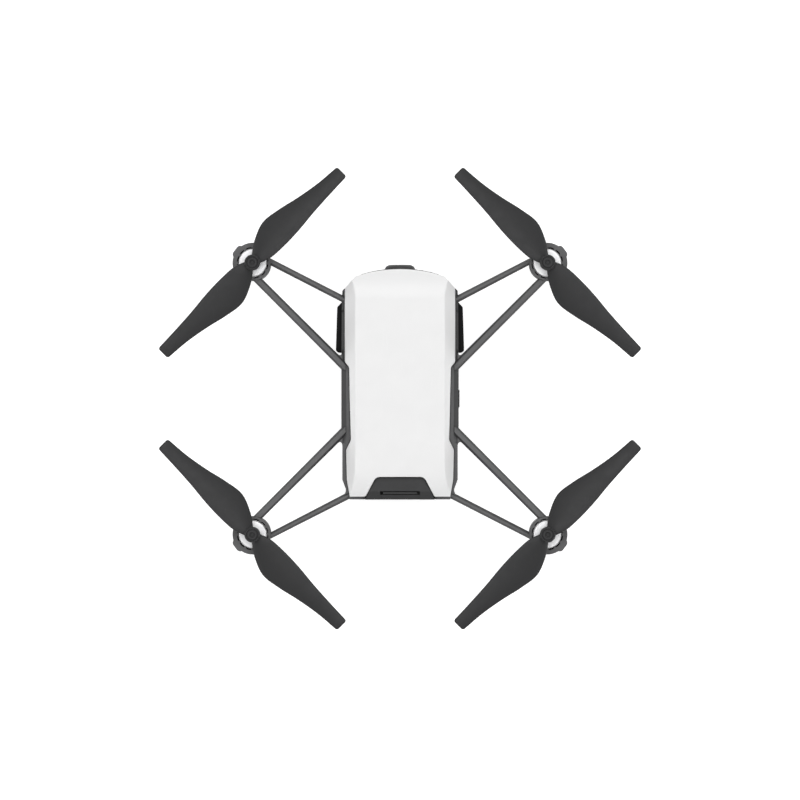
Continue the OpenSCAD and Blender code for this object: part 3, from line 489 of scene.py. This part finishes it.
def soften(bm, width, segments=2, above=25, slide=True):
    """Bevels the edges where faces meet at more than the given angle, by a width in mm."""
    edges = [edge for edge in bm.edges if len(edge.link_faces) == 2
             and edge.calc_face_angle(0) > math.radians(above) and has_room(edge, width)]
    bmesh.ops.bevel(bm, geom=edges, offset=width * MM, offset_type="OFFSET", affect="EDGES",
                    segments=segments, profile=0.5, material=-1, clamp_overlap=False, loop_slide=slide)
    return bm


# %% [markdown]
# Every piece is finished in the same way, so one function does it: the bmesh becomes an object, its
# faces are shaded smooth up to a crease angle, it gets its finish, and it rides on the body that it
# moves with. The weighted normals keep large flats flat next to narrow bevels.

# %% Finishing a piece
def finish_piece(name, bm, body, slot, stands_for=(), crease=35, finish=None):
    """Makes a piece from a bmesh and returns it. It has the slot's finish, or another one by name."""
    mesh = bpy.data.meshes.new(name)
    bm.to_mesh(mesh)
    bm.free()
    mesh.shade_smooth()
    mesh.set_sharp_from_angle(angle=math.radians(crease))
    mesh.materials.append(FINISHES[finish or slot])
    piece = bpy.data.objects.new(name, mesh)
    bpy.context.scene.collection.objects.link(piece)
    piece.modifiers.new("even_shading", "WEIGHTED_NORMAL").keep_sharp = True
    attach(piece, body)
    if stands_for:
        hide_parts(*stands_for)
    return piece


def body_of(node):
    """The name of the body that a working part belongs to."""
    bodies = frame["record"]["behaviour"]["bodies"]
    return next(body for body, nodes in bodies.items() if node in nodes)


# %% [markdown]
# ## The moulded and stamped parts
# These parts have the right shape already and need only soft edges and a finish. One table holds
# the finish and the width of each part's edge: fine on the frame, whose arms are barely two
# millimetres wide, and finer still on the small parts of the electronics. The shading is smooth
# only across small angles here, so that the large flats stay truly flat and the bevels carry the
# whole turn. Two parts of the camera look different from the others of their slot: its window is
# clear, and its housing is black.

# %% Softened parts
SOFT_EDGES = {  # the slot of each part, and the width of its bevels in mm
    "main_frame": ("frame_plastic", 0.10), "belly_cover": ("frame_plastic", 0.25),
    "nose_bezel": ("frame_plastic", 0.15), "board_deck": ("inner_plastic", 0.12),
    "antenna_cover_left": ("black_plastic", 0.25), "antenna_cover_right": ("black_plastic", 0.25),
    "battery_end_cap": ("cap_plastic", 0.12), "power_button": ("black_plastic", 0.15),
    "main_board": ("circuit_board", 0.05), "sensor_board": ("circuit_board", 0.05),
    "processor_shield": ("shield_metal", 0.1), "power_switch": ("inner_plastic", 0.08),
    "usb_port": ("shield_metal", 0.12), "battery_connector": ("inner_plastic", 0.12),
    "battery_contacts": ("contact_metal", 0.05), "camera_module": ("inner_plastic", 0.1),
    "camera_ribbon": ("copper_strip", 0.05), "downward_camera": ("black_plastic", 0.1),
    "range_sensor": ("black_plastic", 0.1), "sensor_window": ("dark_window", 0.12),
    "camera_window": ("dark_window", 0.06), "camera_lens": ("lens_glass", 0.05),
    "status_light": ("light_pipe", 0.12), "board_screws": ("screw_steel", 0.06),
    "belly_screws": ("screw_steel", 0.06), "antenna_left": ("copper_strip", 0.05),
    "antenna_right": ("copper_strip", 0.05), "antenna_leads": ("wire_sleeve", 0.0),
    "motor_magnets": ("magnet_metal", 0.1),
}
OWN_FINISH = {"camera_window": "camera_glass", "camera_module": "black_plastic"}
SMALL_CREASE = 20  # degrees
for node, (slot, width) in SOFT_EDGES.items():
    surface = merged(node)
    if width:
        soften(surface, width)
    finish_piece(node + "_finished", surface, body_of(node), slot, [node], SMALL_CREASE, OWN_FINISH.get(node))
print("softened parts:", len(SOFT_EDGES))

# %% [markdown]
# ## The top cover
# The cover is the part that is seen and handled most, so its edges are the broadest and get more
# segments. Its facets meet at small angles: a lower crease angle keeps them from being shaded as
# one curved sheet.

# %% Top cover
COVER_EDGE, COVER_COLLAPSE = 0.45, 0.08  # mm
COVER_CREASE = 12  # degrees
cover = soften(merged("top_cover", COVER_COLLAPSE), COVER_EDGE, segments=4, slide=False)
finish_piece("top_cover_finished", cover, "top_cover", "white_plastic", ["top_cover"], COVER_CREASE)
print(f"cover: {COVER_EDGE} mm edges")

# %% [markdown]
# ## Turned and pressed round parts
# A round part is half of its section, spun about its axis: this gives a truer circle than any cut.
# The section is a closed line of points, with an arc of short steps at each rounded corner, and the
# doubled line where the spin closes is merged. Normals are worked out again, because a spin can
# come out inside out.

# %% Spinning a section
CLOSING = 0.001  # mm, the gap closed where a spin or a tube meets itself


def spun(section, steps=64):
    """A closed round solid from (radius, height) points in mm, in order round its section."""
    bm = bmesh.new()
    points = [bm.verts.new((radius * MM, 0, height * MM)) for radius, height in section]
    edges = [bm.edges.new(pair) for pair in zip(points, points[1:] + points[:1])]
    bmesh.ops.spin(bm, geom=points + edges, cent=(0, 0, 0), axis=(0, 0, 1), angle=math.tau, steps=steps,
                   use_merge=True, use_duplicate=False)
    bmesh.ops.remove_doubles(bm, verts=bm.verts, dist=CLOSING * MM)
    bmesh.ops.dissolve_degenerate(bm, edges=bm.edges, dist=CLOSING * MM)
    bmesh.ops.recalc_face_normals(bm, faces=bm.faces)
    return bm


def arc(centre, radius, start, end, steps=5):
    """Points of a rounded corner in a section, from one angle to another in degrees."""
    angles = [math.radians(start + (end - start) * step / steps) for step in range(steps + 1)]
    return [(centre[0] + radius * math.cos(a), centre[1] + radius * math.sin(a)) for a in angles]


def at_corner(source, corner):
    """A copy of a surface that was made on the origin's axis, moved to a motor."""
    bm = source.copy()
    axis = motor_axis[corner]
    bmesh.ops.translate(bm, verts=bm.verts, vec=(axis.x, axis.y, 0))
    return bm


# %% [markdown]
# ## Cutting and joining
# A spun surface can't have an opening on one side only, and a propeller is three surfaces in one.
# Both are work for a boolean. Blender's boolean is a modifier, so the surfaces go on to
# temporary objects, the modifiers work in turn, and the result comes back as a bmesh. A cutter is a
# stretched cube or a spun rod.

# %% Cutting and joining
def temporary(bm):
    """An object that holds a surface while a modifier works on it."""
    mesh = bpy.data.meshes.new("temporary")
    bm.to_mesh(mesh)
    bm.free()
    holder = bpy.data.objects.new("temporary", mesh)
    bpy.context.scene.collection.objects.link(holder)
    return holder


def combine(base, tools, operation):
    """Joins tools to a closed surface (UNION) or cuts them out of it (DIFFERENCE)."""
    holders = [temporary(base)] + [temporary(tool) for tool in tools]
    for tool in holders[1:]:
        step = holders[0].modifiers.new("combine", "BOOLEAN")
        step.operation = operation
        step.solver = "EXACT"
        step.object = tool
    seen = holders[0].evaluated_get(bpy.context.evaluated_depsgraph_get())
    mesh = bpy.data.meshes.new_from_object(seen)
    result = bmesh.new()
    result.from_mesh(mesh)
    # A boolean gives its corners in another order each run. Sorted, they always merge in the same way.
    in_order = sorted(result.verts, key=lambda vert: tuple(vert.co))
    ranks = {vert: rank for rank, vert in enumerate(in_order)}
    result.verts.sort(key=ranks.get)
    bmesh.ops.remove_doubles(result, verts=result.verts, dist=SAME_PLACE * MM)
    for holder in holders:
        bpy.data.meshes.remove(holder.data)
    bpy.data.meshes.remove(mesh)
    return result


def block(low, high):
    """A cube stretched between two corners in mm."""
    bm = bmesh.new()
    bmesh.ops.create_cube(bm, size=1)
    bmesh.ops.scale(bm, verts=bm.verts, vec=mm(*high) - mm(*low))
    bmesh.ops.translate(bm, verts=bm.verts, vec=(mm(*high) + mm(*low)) / 2)
    return bm


# %% [markdown]
# ## Motor cans
# A coreless motor is a drawn steel can whose end is crimped a little narrower, with a shallow ring
# groove round a small boss for the shaft. The section runs up the outside, over the end and back
# down the bore. Two long vents are then cut through the wall.

# %% Motor can
can_low, can_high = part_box("motor_can_front_left")
CAN_BOTTOM, BOSS_TOP = can_low.z / MM, can_high.z / MM
BOSS_HEIGHT, BOSS_R = 0.5, 1.5
CAN_TOP = BOSS_TOP - BOSS_HEIGHT
CAN_R = (can_high.y - can_low.y) / 2 / MM
WALL, END_WALL = 0.35, 0.8
ROUNDING = 0.2
SHAFT_R, SHAFT_FIT = 0.5, 0.04
shaft_hole = SHAFT_R + SHAFT_FIT
SHAFT_HOLE_CHAMFER = 0.15
CRIMP_R, CRIMP_FOOT = CAN_R - 0.25, CAN_TOP - 1.5
GROOVE_BED = CAN_TOP - 0.12

can_section = [(CAN_R - WALL, CAN_BOTTOM), (CAN_R, CAN_BOTTOM)]
can_section += [(CAN_R, CRIMP_FOOT - 0.25), (CAN_R - 0.12, CRIMP_FOOT - 0.1), (CRIMP_R, CRIMP_FOOT)]
can_section += arc((CRIMP_R - ROUNDING, CAN_TOP - ROUNDING), ROUNDING, 0, 90, 4)
can_section += [(2.3, CAN_TOP), (2.15, GROOVE_BED), (1.65, GROOVE_BED), (BOSS_R, CAN_TOP)]
can_section += arc((BOSS_R - ROUNDING, BOSS_TOP - ROUNDING), ROUNDING, 0, 90, 3)
can_section += [(shaft_hole + SHAFT_HOLE_CHAMFER, BOSS_TOP), (shaft_hole, BOSS_TOP - SHAFT_HOLE_CHAMFER)]
can_section += [(shaft_hole, CAN_TOP - END_WALL), (CAN_R - WALL, CAN_TOP - END_WALL)]

VENT_R, VENT_REACH, VENT_WIDTH = 4.1, 0.6, 1  # mm: its middle, how far it goes to each side, and its width
VENT_BOTTOM, VENT_TOP = CAN_BOTTOM + 1.6, CAN_BOTTOM + 5.6


def vent(side):
    """A cutter through the can's wall, on the side -1 or 1."""
    x = side * VENT_R
    return block((x - VENT_REACH, -VENT_WIDTH / 2, VENT_BOTTOM), (x + VENT_REACH, VENT_WIDTH / 2, VENT_TOP))


can = combine(spun(can_section), [vent(-1), vent(1)], "DIFFERENCE")
print("can faces:", len(can.faces))

# %% [markdown]
# ## Motor end caps
# A moulded plug closes the open end of each can and carries the brushes. Its rim is rounded, a ring
# groove is sunk in its face, and its bore holds the lower end of the shaft.

# %% End cap
CAP_BOTTOM, PLUG_TOP = CAN_BOTTOM - END_WALL, CAN_BOTTOM + 1
CAP_GROOVE = 0.25
CAP_FLOOR = CAN_BOTTOM - 0.2
end_section = [(0, CAP_BOTTOM), (2.2, CAP_BOTTOM), (2.3, CAP_BOTTOM + CAP_GROOVE),
               (2.9, CAP_BOTTOM + CAP_GROOVE), (3.0, CAP_BOTTOM)]
end_section += arc((CAN_R - 0.3, CAP_BOTTOM + ROUNDING), ROUNDING, -90, 0, 3)
end_section += [(CAN_R - 0.1, CAN_BOTTOM), (CAN_R - WALL, CAN_BOTTOM), (CAN_R - WALL, PLUG_TOP),
                (shaft_hole, PLUG_TOP), (shaft_hole, CAP_FLOOR), (0, CAP_FLOOR)]
end_cap = spun(end_section)

# %% [markdown]
# ## Windings and shafts
# Inside the can, a cup of wound copper turns round a fixed magnet and takes the shaft with it. The
# cup is open at the top, so its section goes up the outer wall, down the inner one and in to the
# shaft.

# %% Winding and shaft
rotor_low, rotor_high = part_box("motor_rotor_front_left")
SHAFT_TOP, SHAFT_BOTTOM = rotor_high.z / MM, rotor_low.z / MM
SHAFT_CHAMFER = 0.1
CUP_R, CUP_WALL, CUP_BOTTOM, CUP_TOP = 3.4, 0.7, CAN_BOTTOM + 1.8, CAN_TOP - 3
CUP_ROUNDING, CUP_FLOOR = 0.3, CUP_BOTTOM + 1
cup_section = arc((CUP_R - CUP_ROUNDING, CUP_BOTTOM + CUP_ROUNDING), CUP_ROUNDING, -90, 0)
cup_section += arc((CUP_R - ROUNDING, CUP_TOP - ROUNDING), ROUNDING, 0, 90, 3)
cup_section += [(CUP_R - CUP_WALL, CUP_TOP), (CUP_R - CUP_WALL, CUP_FLOOR), (SHAFT_R, CUP_FLOOR),
                (SHAFT_R, CUP_BOTTOM)]
cup = spun(cup_section)
shaft_section = [(0, SHAFT_BOTTOM), (SHAFT_R - SHAFT_CHAMFER, SHAFT_BOTTOM)]
shaft_section += [(SHAFT_R, SHAFT_BOTTOM + SHAFT_CHAMFER), (SHAFT_R, SHAFT_TOP - SHAFT_CHAMFER)]
shaft_section += [(SHAFT_R - SHAFT_CHAMFER, SHAFT_TOP), (0, SHAFT_TOP)]
shaft = spun(shaft_section, steps=32)

# %% [markdown]
# The four motors are alike, so one of each surface is copied to every corner. The can and its cap
# ride on the airframe. The winding and the shaft ride on the rotor, and together they stand for one
# working part.

# %% Motors in their places
for corner in CORNERS:
    rotor = f"rotor_{corner}"
    finish_piece(f"motor_can_{corner}_turned", at_corner(can, corner), "airframe", "motor_metal",
                 [f"motor_can_{corner}"])
    finish_piece(f"motor_cap_{corner}_turned", at_corner(end_cap, corner), "airframe", "motor_end_plastic",
                 [f"motor_cap_{corner}"])
    finish_piece(f"winding_{corner}", at_corner(cup, corner), rotor, "winding_copper",
                 [f"motor_rotor_{corner}"])
    finish_piece(f"shaft_{corner}", at_corner(shaft, corner), rotor, "screw_steel", [f"motor_rotor_{corner}"])
print(f"motors: {CAN_TOP - CAP_BOTTOM:.1f} mm long, {2 * CAN_R:.1f} mm across")

# %% [markdown]
# ## Soft feet
# Each foot is a hollow rubber cone that plugs on to the bottom of a motor sleeve. It is one more
# spun section: a rounded toe, three shallow grooves that let it flex, and a lip that meets the
# sleeve.

# %% Feet
foot_low, foot_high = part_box("foot_front_left")
FOOT_TOP = foot_high.z / MM
FOOT_R = (foot_high.y - foot_low.y) / 2 / MM
TOE_R, TOE_TOP = 3.5, 2.2
TOE_ROUNDING = 0.95
CONE_GROWTH = 1.2 / 10.1  # mm of radius for each mm of height
GROOVE_HEIGHTS = (6.4, 8.0, 9.6)
GROOVE_DEPTH, GROOVE_MOUTH, GROOVE_FLOOR = 0.35, 0.35, 0.12  # the last two are half of the width
LIP_CHAMFER, HOLLOW_FLOOR = 0.15, 2.6


def cone_radius(height):
    """Outside of the foot between the toe and the lip."""
    return TOE_R + (height - TOE_TOP) * CONE_GROWTH


foot_section = [(0, 0.15), (1.2, 0.15), (1.5, 0), (2.4, 0)]
foot_section += arc((2.4, TOE_ROUNDING), TOE_ROUNDING, -75, 0, 6)
foot_section.append((TOE_R, TOE_TOP))
for height in GROOVE_HEIGHTS:
    low, high, floor_r = height - GROOVE_MOUTH, height + GROOVE_MOUTH, cone_radius(height) - GROOVE_DEPTH
    foot_section += [(cone_radius(low), low), (floor_r, height - GROOVE_FLOOR)]
    foot_section += [(floor_r, height + GROOVE_FLOOR), (cone_radius(high), high)]
foot_section += [(4.7, FOOT_TOP - 3), (5.0, FOOT_TOP - 1.9), (FOOT_R, FOOT_TOP - 1.6),
                 (FOOT_R, FOOT_TOP - LIP_CHAMFER), (FOOT_R - LIP_CHAMFER, FOOT_TOP), (CAN_R, FOOT_TOP),
                 (CAN_R, FOOT_TOP - 1.2), (3.6, FOOT_TOP - 2.8), (2.4, HOLLOW_FLOOR), (0, HOLLOW_FLOOR)]
foot = spun(foot_section)
for corner in CORNERS:
    finish_piece(f"foot_{corner}_soft", at_corner(foot, corner), "airframe", "foot_rubber",
                 [f"foot_{corner}"])
print(f"feet: {FOOT_TOP:.1f} mm high, {len(foot.faces)} faces each")

# %% [markdown]
# ## Propeller blades
# A blade is a long twisted wing, widest near the hub and rounded at the tip. Its outline is written
# down as seven stations, and a smooth curve through them gives as many rings as the surface needs.
# The tip is a few more rings that close in along a quarter of a circle.

# %% Blade outline
BLADE_STATIONS = [  # radius, and how far the front and the back edge lie from the blade's line, in mm
    (1.4, 1.7, 1.7), (5, 2.9, 4.2), (10.5, 3.2, 6.3), (16.5, 3.0, 5.6),
    (23, 2.4, 4.1), (30, 2.0, 2.9), (36.7, 1.75, 2.35),
]
PROPELLER_R = 37.5
TIP_CORNER = 0.8
LEAST_FULLNESS = 0.03  # of the section, at the very tip


def through(rows, place):
    """A smooth curve through rows of numbers, read at a place from 0 to the last row."""
    index = min(int(place), len(rows) - 2)
    t = place - index
    a, b, c, d = (Vector(rows[min(max(index + step, 0), len(rows) - 1)]) for step in (-1, 0, 1, 2))
    return 0.5 * (2 * b + (c - a) * t + (2 * a - 5 * b + 4 * c - d) * t**2 + (3 * b - a - 3 * c + d) * t**3)


def blade_rings(steps=5, tip_steps=6):
    """Radius, front reach, back reach and fullness of each ring from the hub to the tip."""
    count = (len(BLADE_STATIONS) - 1) * steps
    rings = [(*through(BLADE_STATIONS, ring / steps), 1.0) for ring in range(count + 1)]
    start, front, back = BLADE_STATIONS[-1]
    for step in range(1, tip_steps + 1):
        t = math.sin(math.pi / 2 * step / tip_steps)
        full = max(math.sqrt(1 - t * t), LEAST_FULLNESS)
        inset = TIP_CORNER * (1 - full)
        rings.append((start + (PROPELLER_R - start) * t, front - inset, back - inset, full))
    return rings


print("blade rings:", len(blade_rings()))

# %% [markdown]
# A flat grid is rolled into the blade: across, the grid becomes the section, thick near the front
# edge and thin at the back, and along, it follows the rings while the angle of the section eases
# off. Lofting by hand-placed rings would give the same, but the grid keeps the quads even.

# %% Blade surface
ROOT_PITCH, TIP_PITCH = math.radians(19), math.radians(8)
ROOT_ARCH, TIP_ARCH = 0.5, 0.2  # mm, how far the middle of the section rises
ROOT_BODY, TIP_BODY, EDGE_BODY = 1.15, 0.5, 0.12  # mm of thickness, and what is left of it at the edges
TWIST_START = 4  # mm from the axis


def mix(a, b, share):
    """The number that lies a share of the way from one to another."""
    return a + (b - a) * share


def blade(sides=28):
    """One blade along +X, its front edge towards -Y, centred on the blade plane."""
    rings = blade_rings()
    bm = bmesh.new()
    bmesh.ops.create_grid(bm, x_segments=len(rings) - 1, y_segments=sides, size=0.5)
    for vert in bm.verts:
        radius, front, back, full = rings[round((vert.co.x + 0.5) * (len(rings) - 1))]
        turn = math.tau * (vert.co.y + 0.5)
        outward = max((radius - TWIST_START) / (PROPELLER_R - TWIST_START), 0)
        along = (1 - math.cos(turn)) / 2
        y = mix(-front, back, along)
        arch = 4 * mix(ROOT_ARCH, TIP_ARCH, outward) * along * (1 - along)
        body = mix(ROOT_BODY, TIP_BODY, outward) * math.sqrt(along) * (1 - along)
        thickness = EDGE_BODY * abs(math.sin(turn)) ** 0.5 + body
        lean = y * math.tan(mix(ROOT_PITCH, TIP_PITCH, outward))
        vert.co = mm(radius, y, arch - lean + math.copysign(thickness * full, math.sin(turn)))
    bmesh.ops.remove_doubles(bm, verts=bm.verts, dist=SAME_PLACE * MM)
    open_edges = [edge for edge in bm.edges if edge.is_boundary]
    bmesh.ops.holes_fill(bm, edges=open_edges, sides=0)
    bmesh.ops.recalc_face_normals(bm, faces=bm.faces)
    return bm


# %% [markdown]
# ## Hub and whole propellers
# The hub is spun, with a ring groove and a small dimple in its top. Its rim gets small flutes,
# which give a finger grip when a propeller is pulled off. A boolean then joins both blades to it,
# as they leave the mould in one piece. The propellers of two corners turn the other way, so theirs
# is the mirror image, and its faces are reversed because mirroring turns them inside out.

# %% Hub
HUB_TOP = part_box("propeller_front_left")[1].z / MM
HUB_R, HUB_BOTTOM = 2.3, HUB_TOP - 4.6
RIM_ROUNDING, RIM_TOP = 0.3, HUB_TOP - 0.1
BORE_CHAMFER, SKIRT_CHAMFER = 0.1, 0.2
GROOVE_BOTTOM, DIMPLE_BOTTOM = HUB_TOP - 0.6, HUB_TOP - 0.8
hub_section = [(0, SHAFT_TOP), (SHAFT_R, SHAFT_TOP), (SHAFT_R, HUB_BOTTOM + BORE_CHAMFER)]
hub_section += [(SHAFT_R + BORE_CHAMFER, HUB_BOTTOM), (HUB_R - SKIRT_CHAMFER, HUB_BOTTOM)]
hub_section += [(HUB_R, HUB_BOTTOM + SKIRT_CHAMFER)]
hub_section += arc((HUB_R - RIM_ROUNDING, RIM_TOP - RIM_ROUNDING), RIM_ROUNDING, 0, 90)
hub_section += [(1.85, RIM_TOP), (1.8, GROOVE_BOTTOM), (1.5, GROOVE_BOTTOM), (1.45, RIM_TOP), (1.35, HUB_TOP)]
hub_section += [(0.85, HUB_TOP), (0.75, HUB_TOP - 0.12), (0.7, DIMPLE_BOTTOM), (0, DIMPLE_BOTTOM)]

FLUTES, FLUTE_R, FLUTE_LENGTH = 10, 0.26, 1.1
PROUD = 1  # mm that a cutter stands out of what it cuts


def flute(number):
    """A small upright cutter on the hub's side."""
    low, high = HUB_TOP - FLUTE_LENGTH, HUB_TOP + PROUD
    cutter = spun([(0, low), (FLUTE_R, low), (FLUTE_R, high), (0, high)], steps=12)
    turn = math.tau * (number + 0.5) / FLUTES
    bmesh.ops.translate(cutter, verts=cutter.verts, vec=mm(HUB_R * math.cos(turn), HUB_R * math.sin(turn), 0))
    return cutter


# %% Whole propellers
BLADE_PLANE = HUB_TOP - 2.6
PARKED_TURN = math.pi / 4


def propeller(clockwise):
    """Two blades on a hub, on the origin's axis, at the angle where the propeller rests."""
    blades = [blade(), blade()]
    bmesh.ops.rotate(blades[1], verts=blades[1].verts, matrix=Matrix.Rotation(math.pi, 3, "Z"))
    for bm in blades:
        bmesh.ops.translate(bm, verts=bm.verts, vec=mm(0, 0, BLADE_PLANE))
    hub = combine(spun(hub_section), [flute(number) for number in range(FLUTES)], "DIFFERENCE")
    whole = combine(hub, blades, "UNION")
    turn = PARKED_TURN
    if not clockwise:
        bmesh.ops.scale(whole, verts=whole.verts, vec=(1, -1, 1))
        bmesh.ops.reverse_faces(whole, faces=whole.faces)
        turn = -turn
    bmesh.ops.rotate(whole, verts=whole.verts, matrix=Matrix.Rotation(turn, 3, "Z"))
    return whole


both_hands = {hand: propeller(hand) for hand in (True, False)}
for corner, (right, back) in CORNERS.items():
    surface = at_corner(both_hands[right * back < 0], corner)
    finish_piece(f"propeller_{corner}_moulded", surface, f"rotor_{corner}", "blade_plastic",
                 [f"propeller_{corner}"])
print("propeller faces:", len(both_hands[True].faces))

# %% [markdown]
# ## Motor leads
# Two thin insulated wires leave each motor, twisted together, and run along the underside of the
# diagonal arm to the circuit board. A curve with a round bevel draws a wire; its points go round
# the route in a slow screw, half a turn apart for the two wires, so that they touch but don't
# cross.

# %% Twisted pairs
LEAD_ROUTE = [  # the rear left route, in mm
    (41.9, 35.8, 16.1), (41.7, 35.1, 16.2), (41.5, 34.5, 17), (41.4, 34.4, 19), (41.4, 34.4, 22),
    (41.4, 34.4, 25), (41.3, 34.3, 27.4), (40.6, 33.6, 28.4), (39, 32.1, 28.5), (34, 27.1, 27.6),
    (30, 23.1, 26.8), (26, 19.1, 26), (22, 15.1, 25.2), (19.4, 12.5, 24.7), (18.2, 11.2, 24.4),
    (17.2, 10.4, 24.1), (16.1, 9.8, 23.8), (15, 9.4, 23.6), (14.1, 9.3, 23.5),
]
LEAD_R, TWIST_LENGTH = 0.24, 3.6  # mm
SIDEWAYS = Vector((0.35, 0.9, 0.2))  # never along the route, so that it gives a direction square to it


def twisted_wire(name, right, back, half_turn, steps=8):
    """One wire of a pair, as a mesh, wound round the route of one corner."""
    count = (len(LEAD_ROUTE) - 1) * steps
    centre = [through(LEAD_ROUTE, place / steps) for place in range(count + 1)]
    points, length = [], 0
    for index, point in enumerate(centre):
        ahead = centre[min(index + 1, count)] - centre[max(index - 1, 0)]
        length += (point - centre[max(index - 1, 0)]).length
        side = ahead.cross(SIDEWAYS).normalized()
        around = Matrix.Rotation(math.tau * length / TWIST_LENGTH + half_turn, 3, ahead.normalized())
        x, y, z = point + LEAD_R * (around @ side)
        points.append(mm(right * x, back * y, z))
    curve = bpy.data.curves.new(name, "CURVE")
    curve.dimensions = "3D"
    curve.bevel_depth = LEAD_R * MM
    curve.bevel_resolution = 2
    curve.use_fill_caps = True
    line = curve.splines.new("POLY")
    line.points.add(len(points) - 1)
    for knot, point in zip(line.points, points):
        knot.co = (*point, 1)
    holder = bpy.data.objects.new(name, curve)
    mesh = bpy.data.meshes.new_from_object(holder)
    bm = bmesh.new()
    bm.from_mesh(mesh)
    bpy.data.objects.remove(holder)
    bpy.data.meshes.remove(mesh)
    bmesh.ops.remove_doubles(bm, verts=bm.verts, dist=CLOSING * MM)
    bmesh.ops.recalc_face_normals(bm, faces=bm.faces)
    return bm


WIRE_COLOURS = {"wire_sleeve": 0, "wire_sleeve_red": math.pi}  # and where each wire starts round the other
for corner, (right, back) in CORNERS.items():
    for colour, half_turn in WIRE_COLOURS.items():
        wire = twisted_wire("wire", right, back, half_turn)
        finish_piece(f"lead_{corner}_{colour}", wire, "airframe", "wire_sleeve", [f"motor_leads_{corner}"],
                     finish=colour)
print("wires:", len(CORNERS) * len(WIRE_COLOURS))

# %% [markdown]
# ## The battery
# The pack is a cell in a shrink-film sleeve. It starts as a stretched cube: the four long edges are
# rounded broadly, as the cell is, then the ends finely. An inset on the top and bottom faces leaves
# the shallow panel where the film lies flat on the cell.

# %% Battery pack
CELL_ROUNDING, END_ROUNDING = 1.6, 0.25  # mm
FILM_INSET, FILM_SINK = 1.5, 0.12  # mm
low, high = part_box("battery_pack")
pack = block(low / MM, high / MM)
long_edges = [edge for edge in pack.edges if abs((edge.verts[0].co - edge.verts[1].co).y) > 20 * MM]
bmesh.ops.bevel(pack, geom=long_edges, offset=CELL_ROUNDING * MM, affect="EDGES", segments=6, profile=0.5,
                material=-1)
soften(pack, END_ROUNDING, segments=2, above=60)
panels = [face for face in pack.faces if abs(face.normal.z) > 0.99]
bmesh.ops.inset_individual(pack, faces=panels, thickness=FILM_INSET * MM, depth=-FILM_SINK * MM)
finish_piece("battery_pack_wrapped", pack, "battery", "battery_wrap", ["battery_pack"])
print(f"battery: {(high - low).y / MM:.1f} mm long, {len(panels)} panels")

# %% [markdown]
# ## What stands on the circuit board
# Under the cover the board is crowded with chips and rows of tiny capacitors. Each is a cube with
# soft edges: the loops below set them out in rows between the screws, the socket, the switch and
# the shield.

# %% Chips and capacitors
board_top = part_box("main_board")[1].z / MM
CHIPS = [  # x, y, width, depth and height in mm
    (-5.5, -20.5, 5, 5, 0.9), (3.8, -21, 4, 6, 1.0), (-6, 12.4, 6, 4, 1.2), (4.6, 12.6, 7, 5, 1.0),
]
CAPACITOR = (0.8, 0.5, 0.45)  # width, depth and height in mm
CHIP_EDGE, CAPACITOR_EDGE = 0.1, 0.06  # mm


def rounded_block(x, y, width, depth, height, edge):
    """A cube with soft edges that stands on the board, by its middle and its size in mm."""
    low, high = (x - width / 2, y - depth / 2, board_top), (x + width / 2, y + depth / 2, board_top + height)
    return soften(block(low, high), edge, above=60)


def gather(parts):
    """Puts several surfaces into one."""
    whole = bmesh.new()
    for part in parts:
        mesh = bpy.data.meshes.new("part")
        part.to_mesh(mesh)
        part.free()
        whole.from_mesh(mesh)
        bpy.data.meshes.remove(mesh)
    return whole


chips = gather([rounded_block(*chip, CHIP_EDGE) for chip in CHIPS])
finish_piece("board_chips", chips, "airframe", "inner_plastic")
rows = [(-10.5 + 1.5 * column, -16.6 + 1.1 * row) for column in range(15) for row in range(3)]
rows += [(-9 + 1.5 * column, 8.4) for column in range(13)]
capacitors = gather([rounded_block(x, y, *CAPACITOR, CAPACITOR_EDGE) for x, y in rows])
finish_piece("board_capacitors", capacitors, "airframe", "contact_metal")
print("board:", len(CHIPS), "chips and", len(rows), "capacitors")
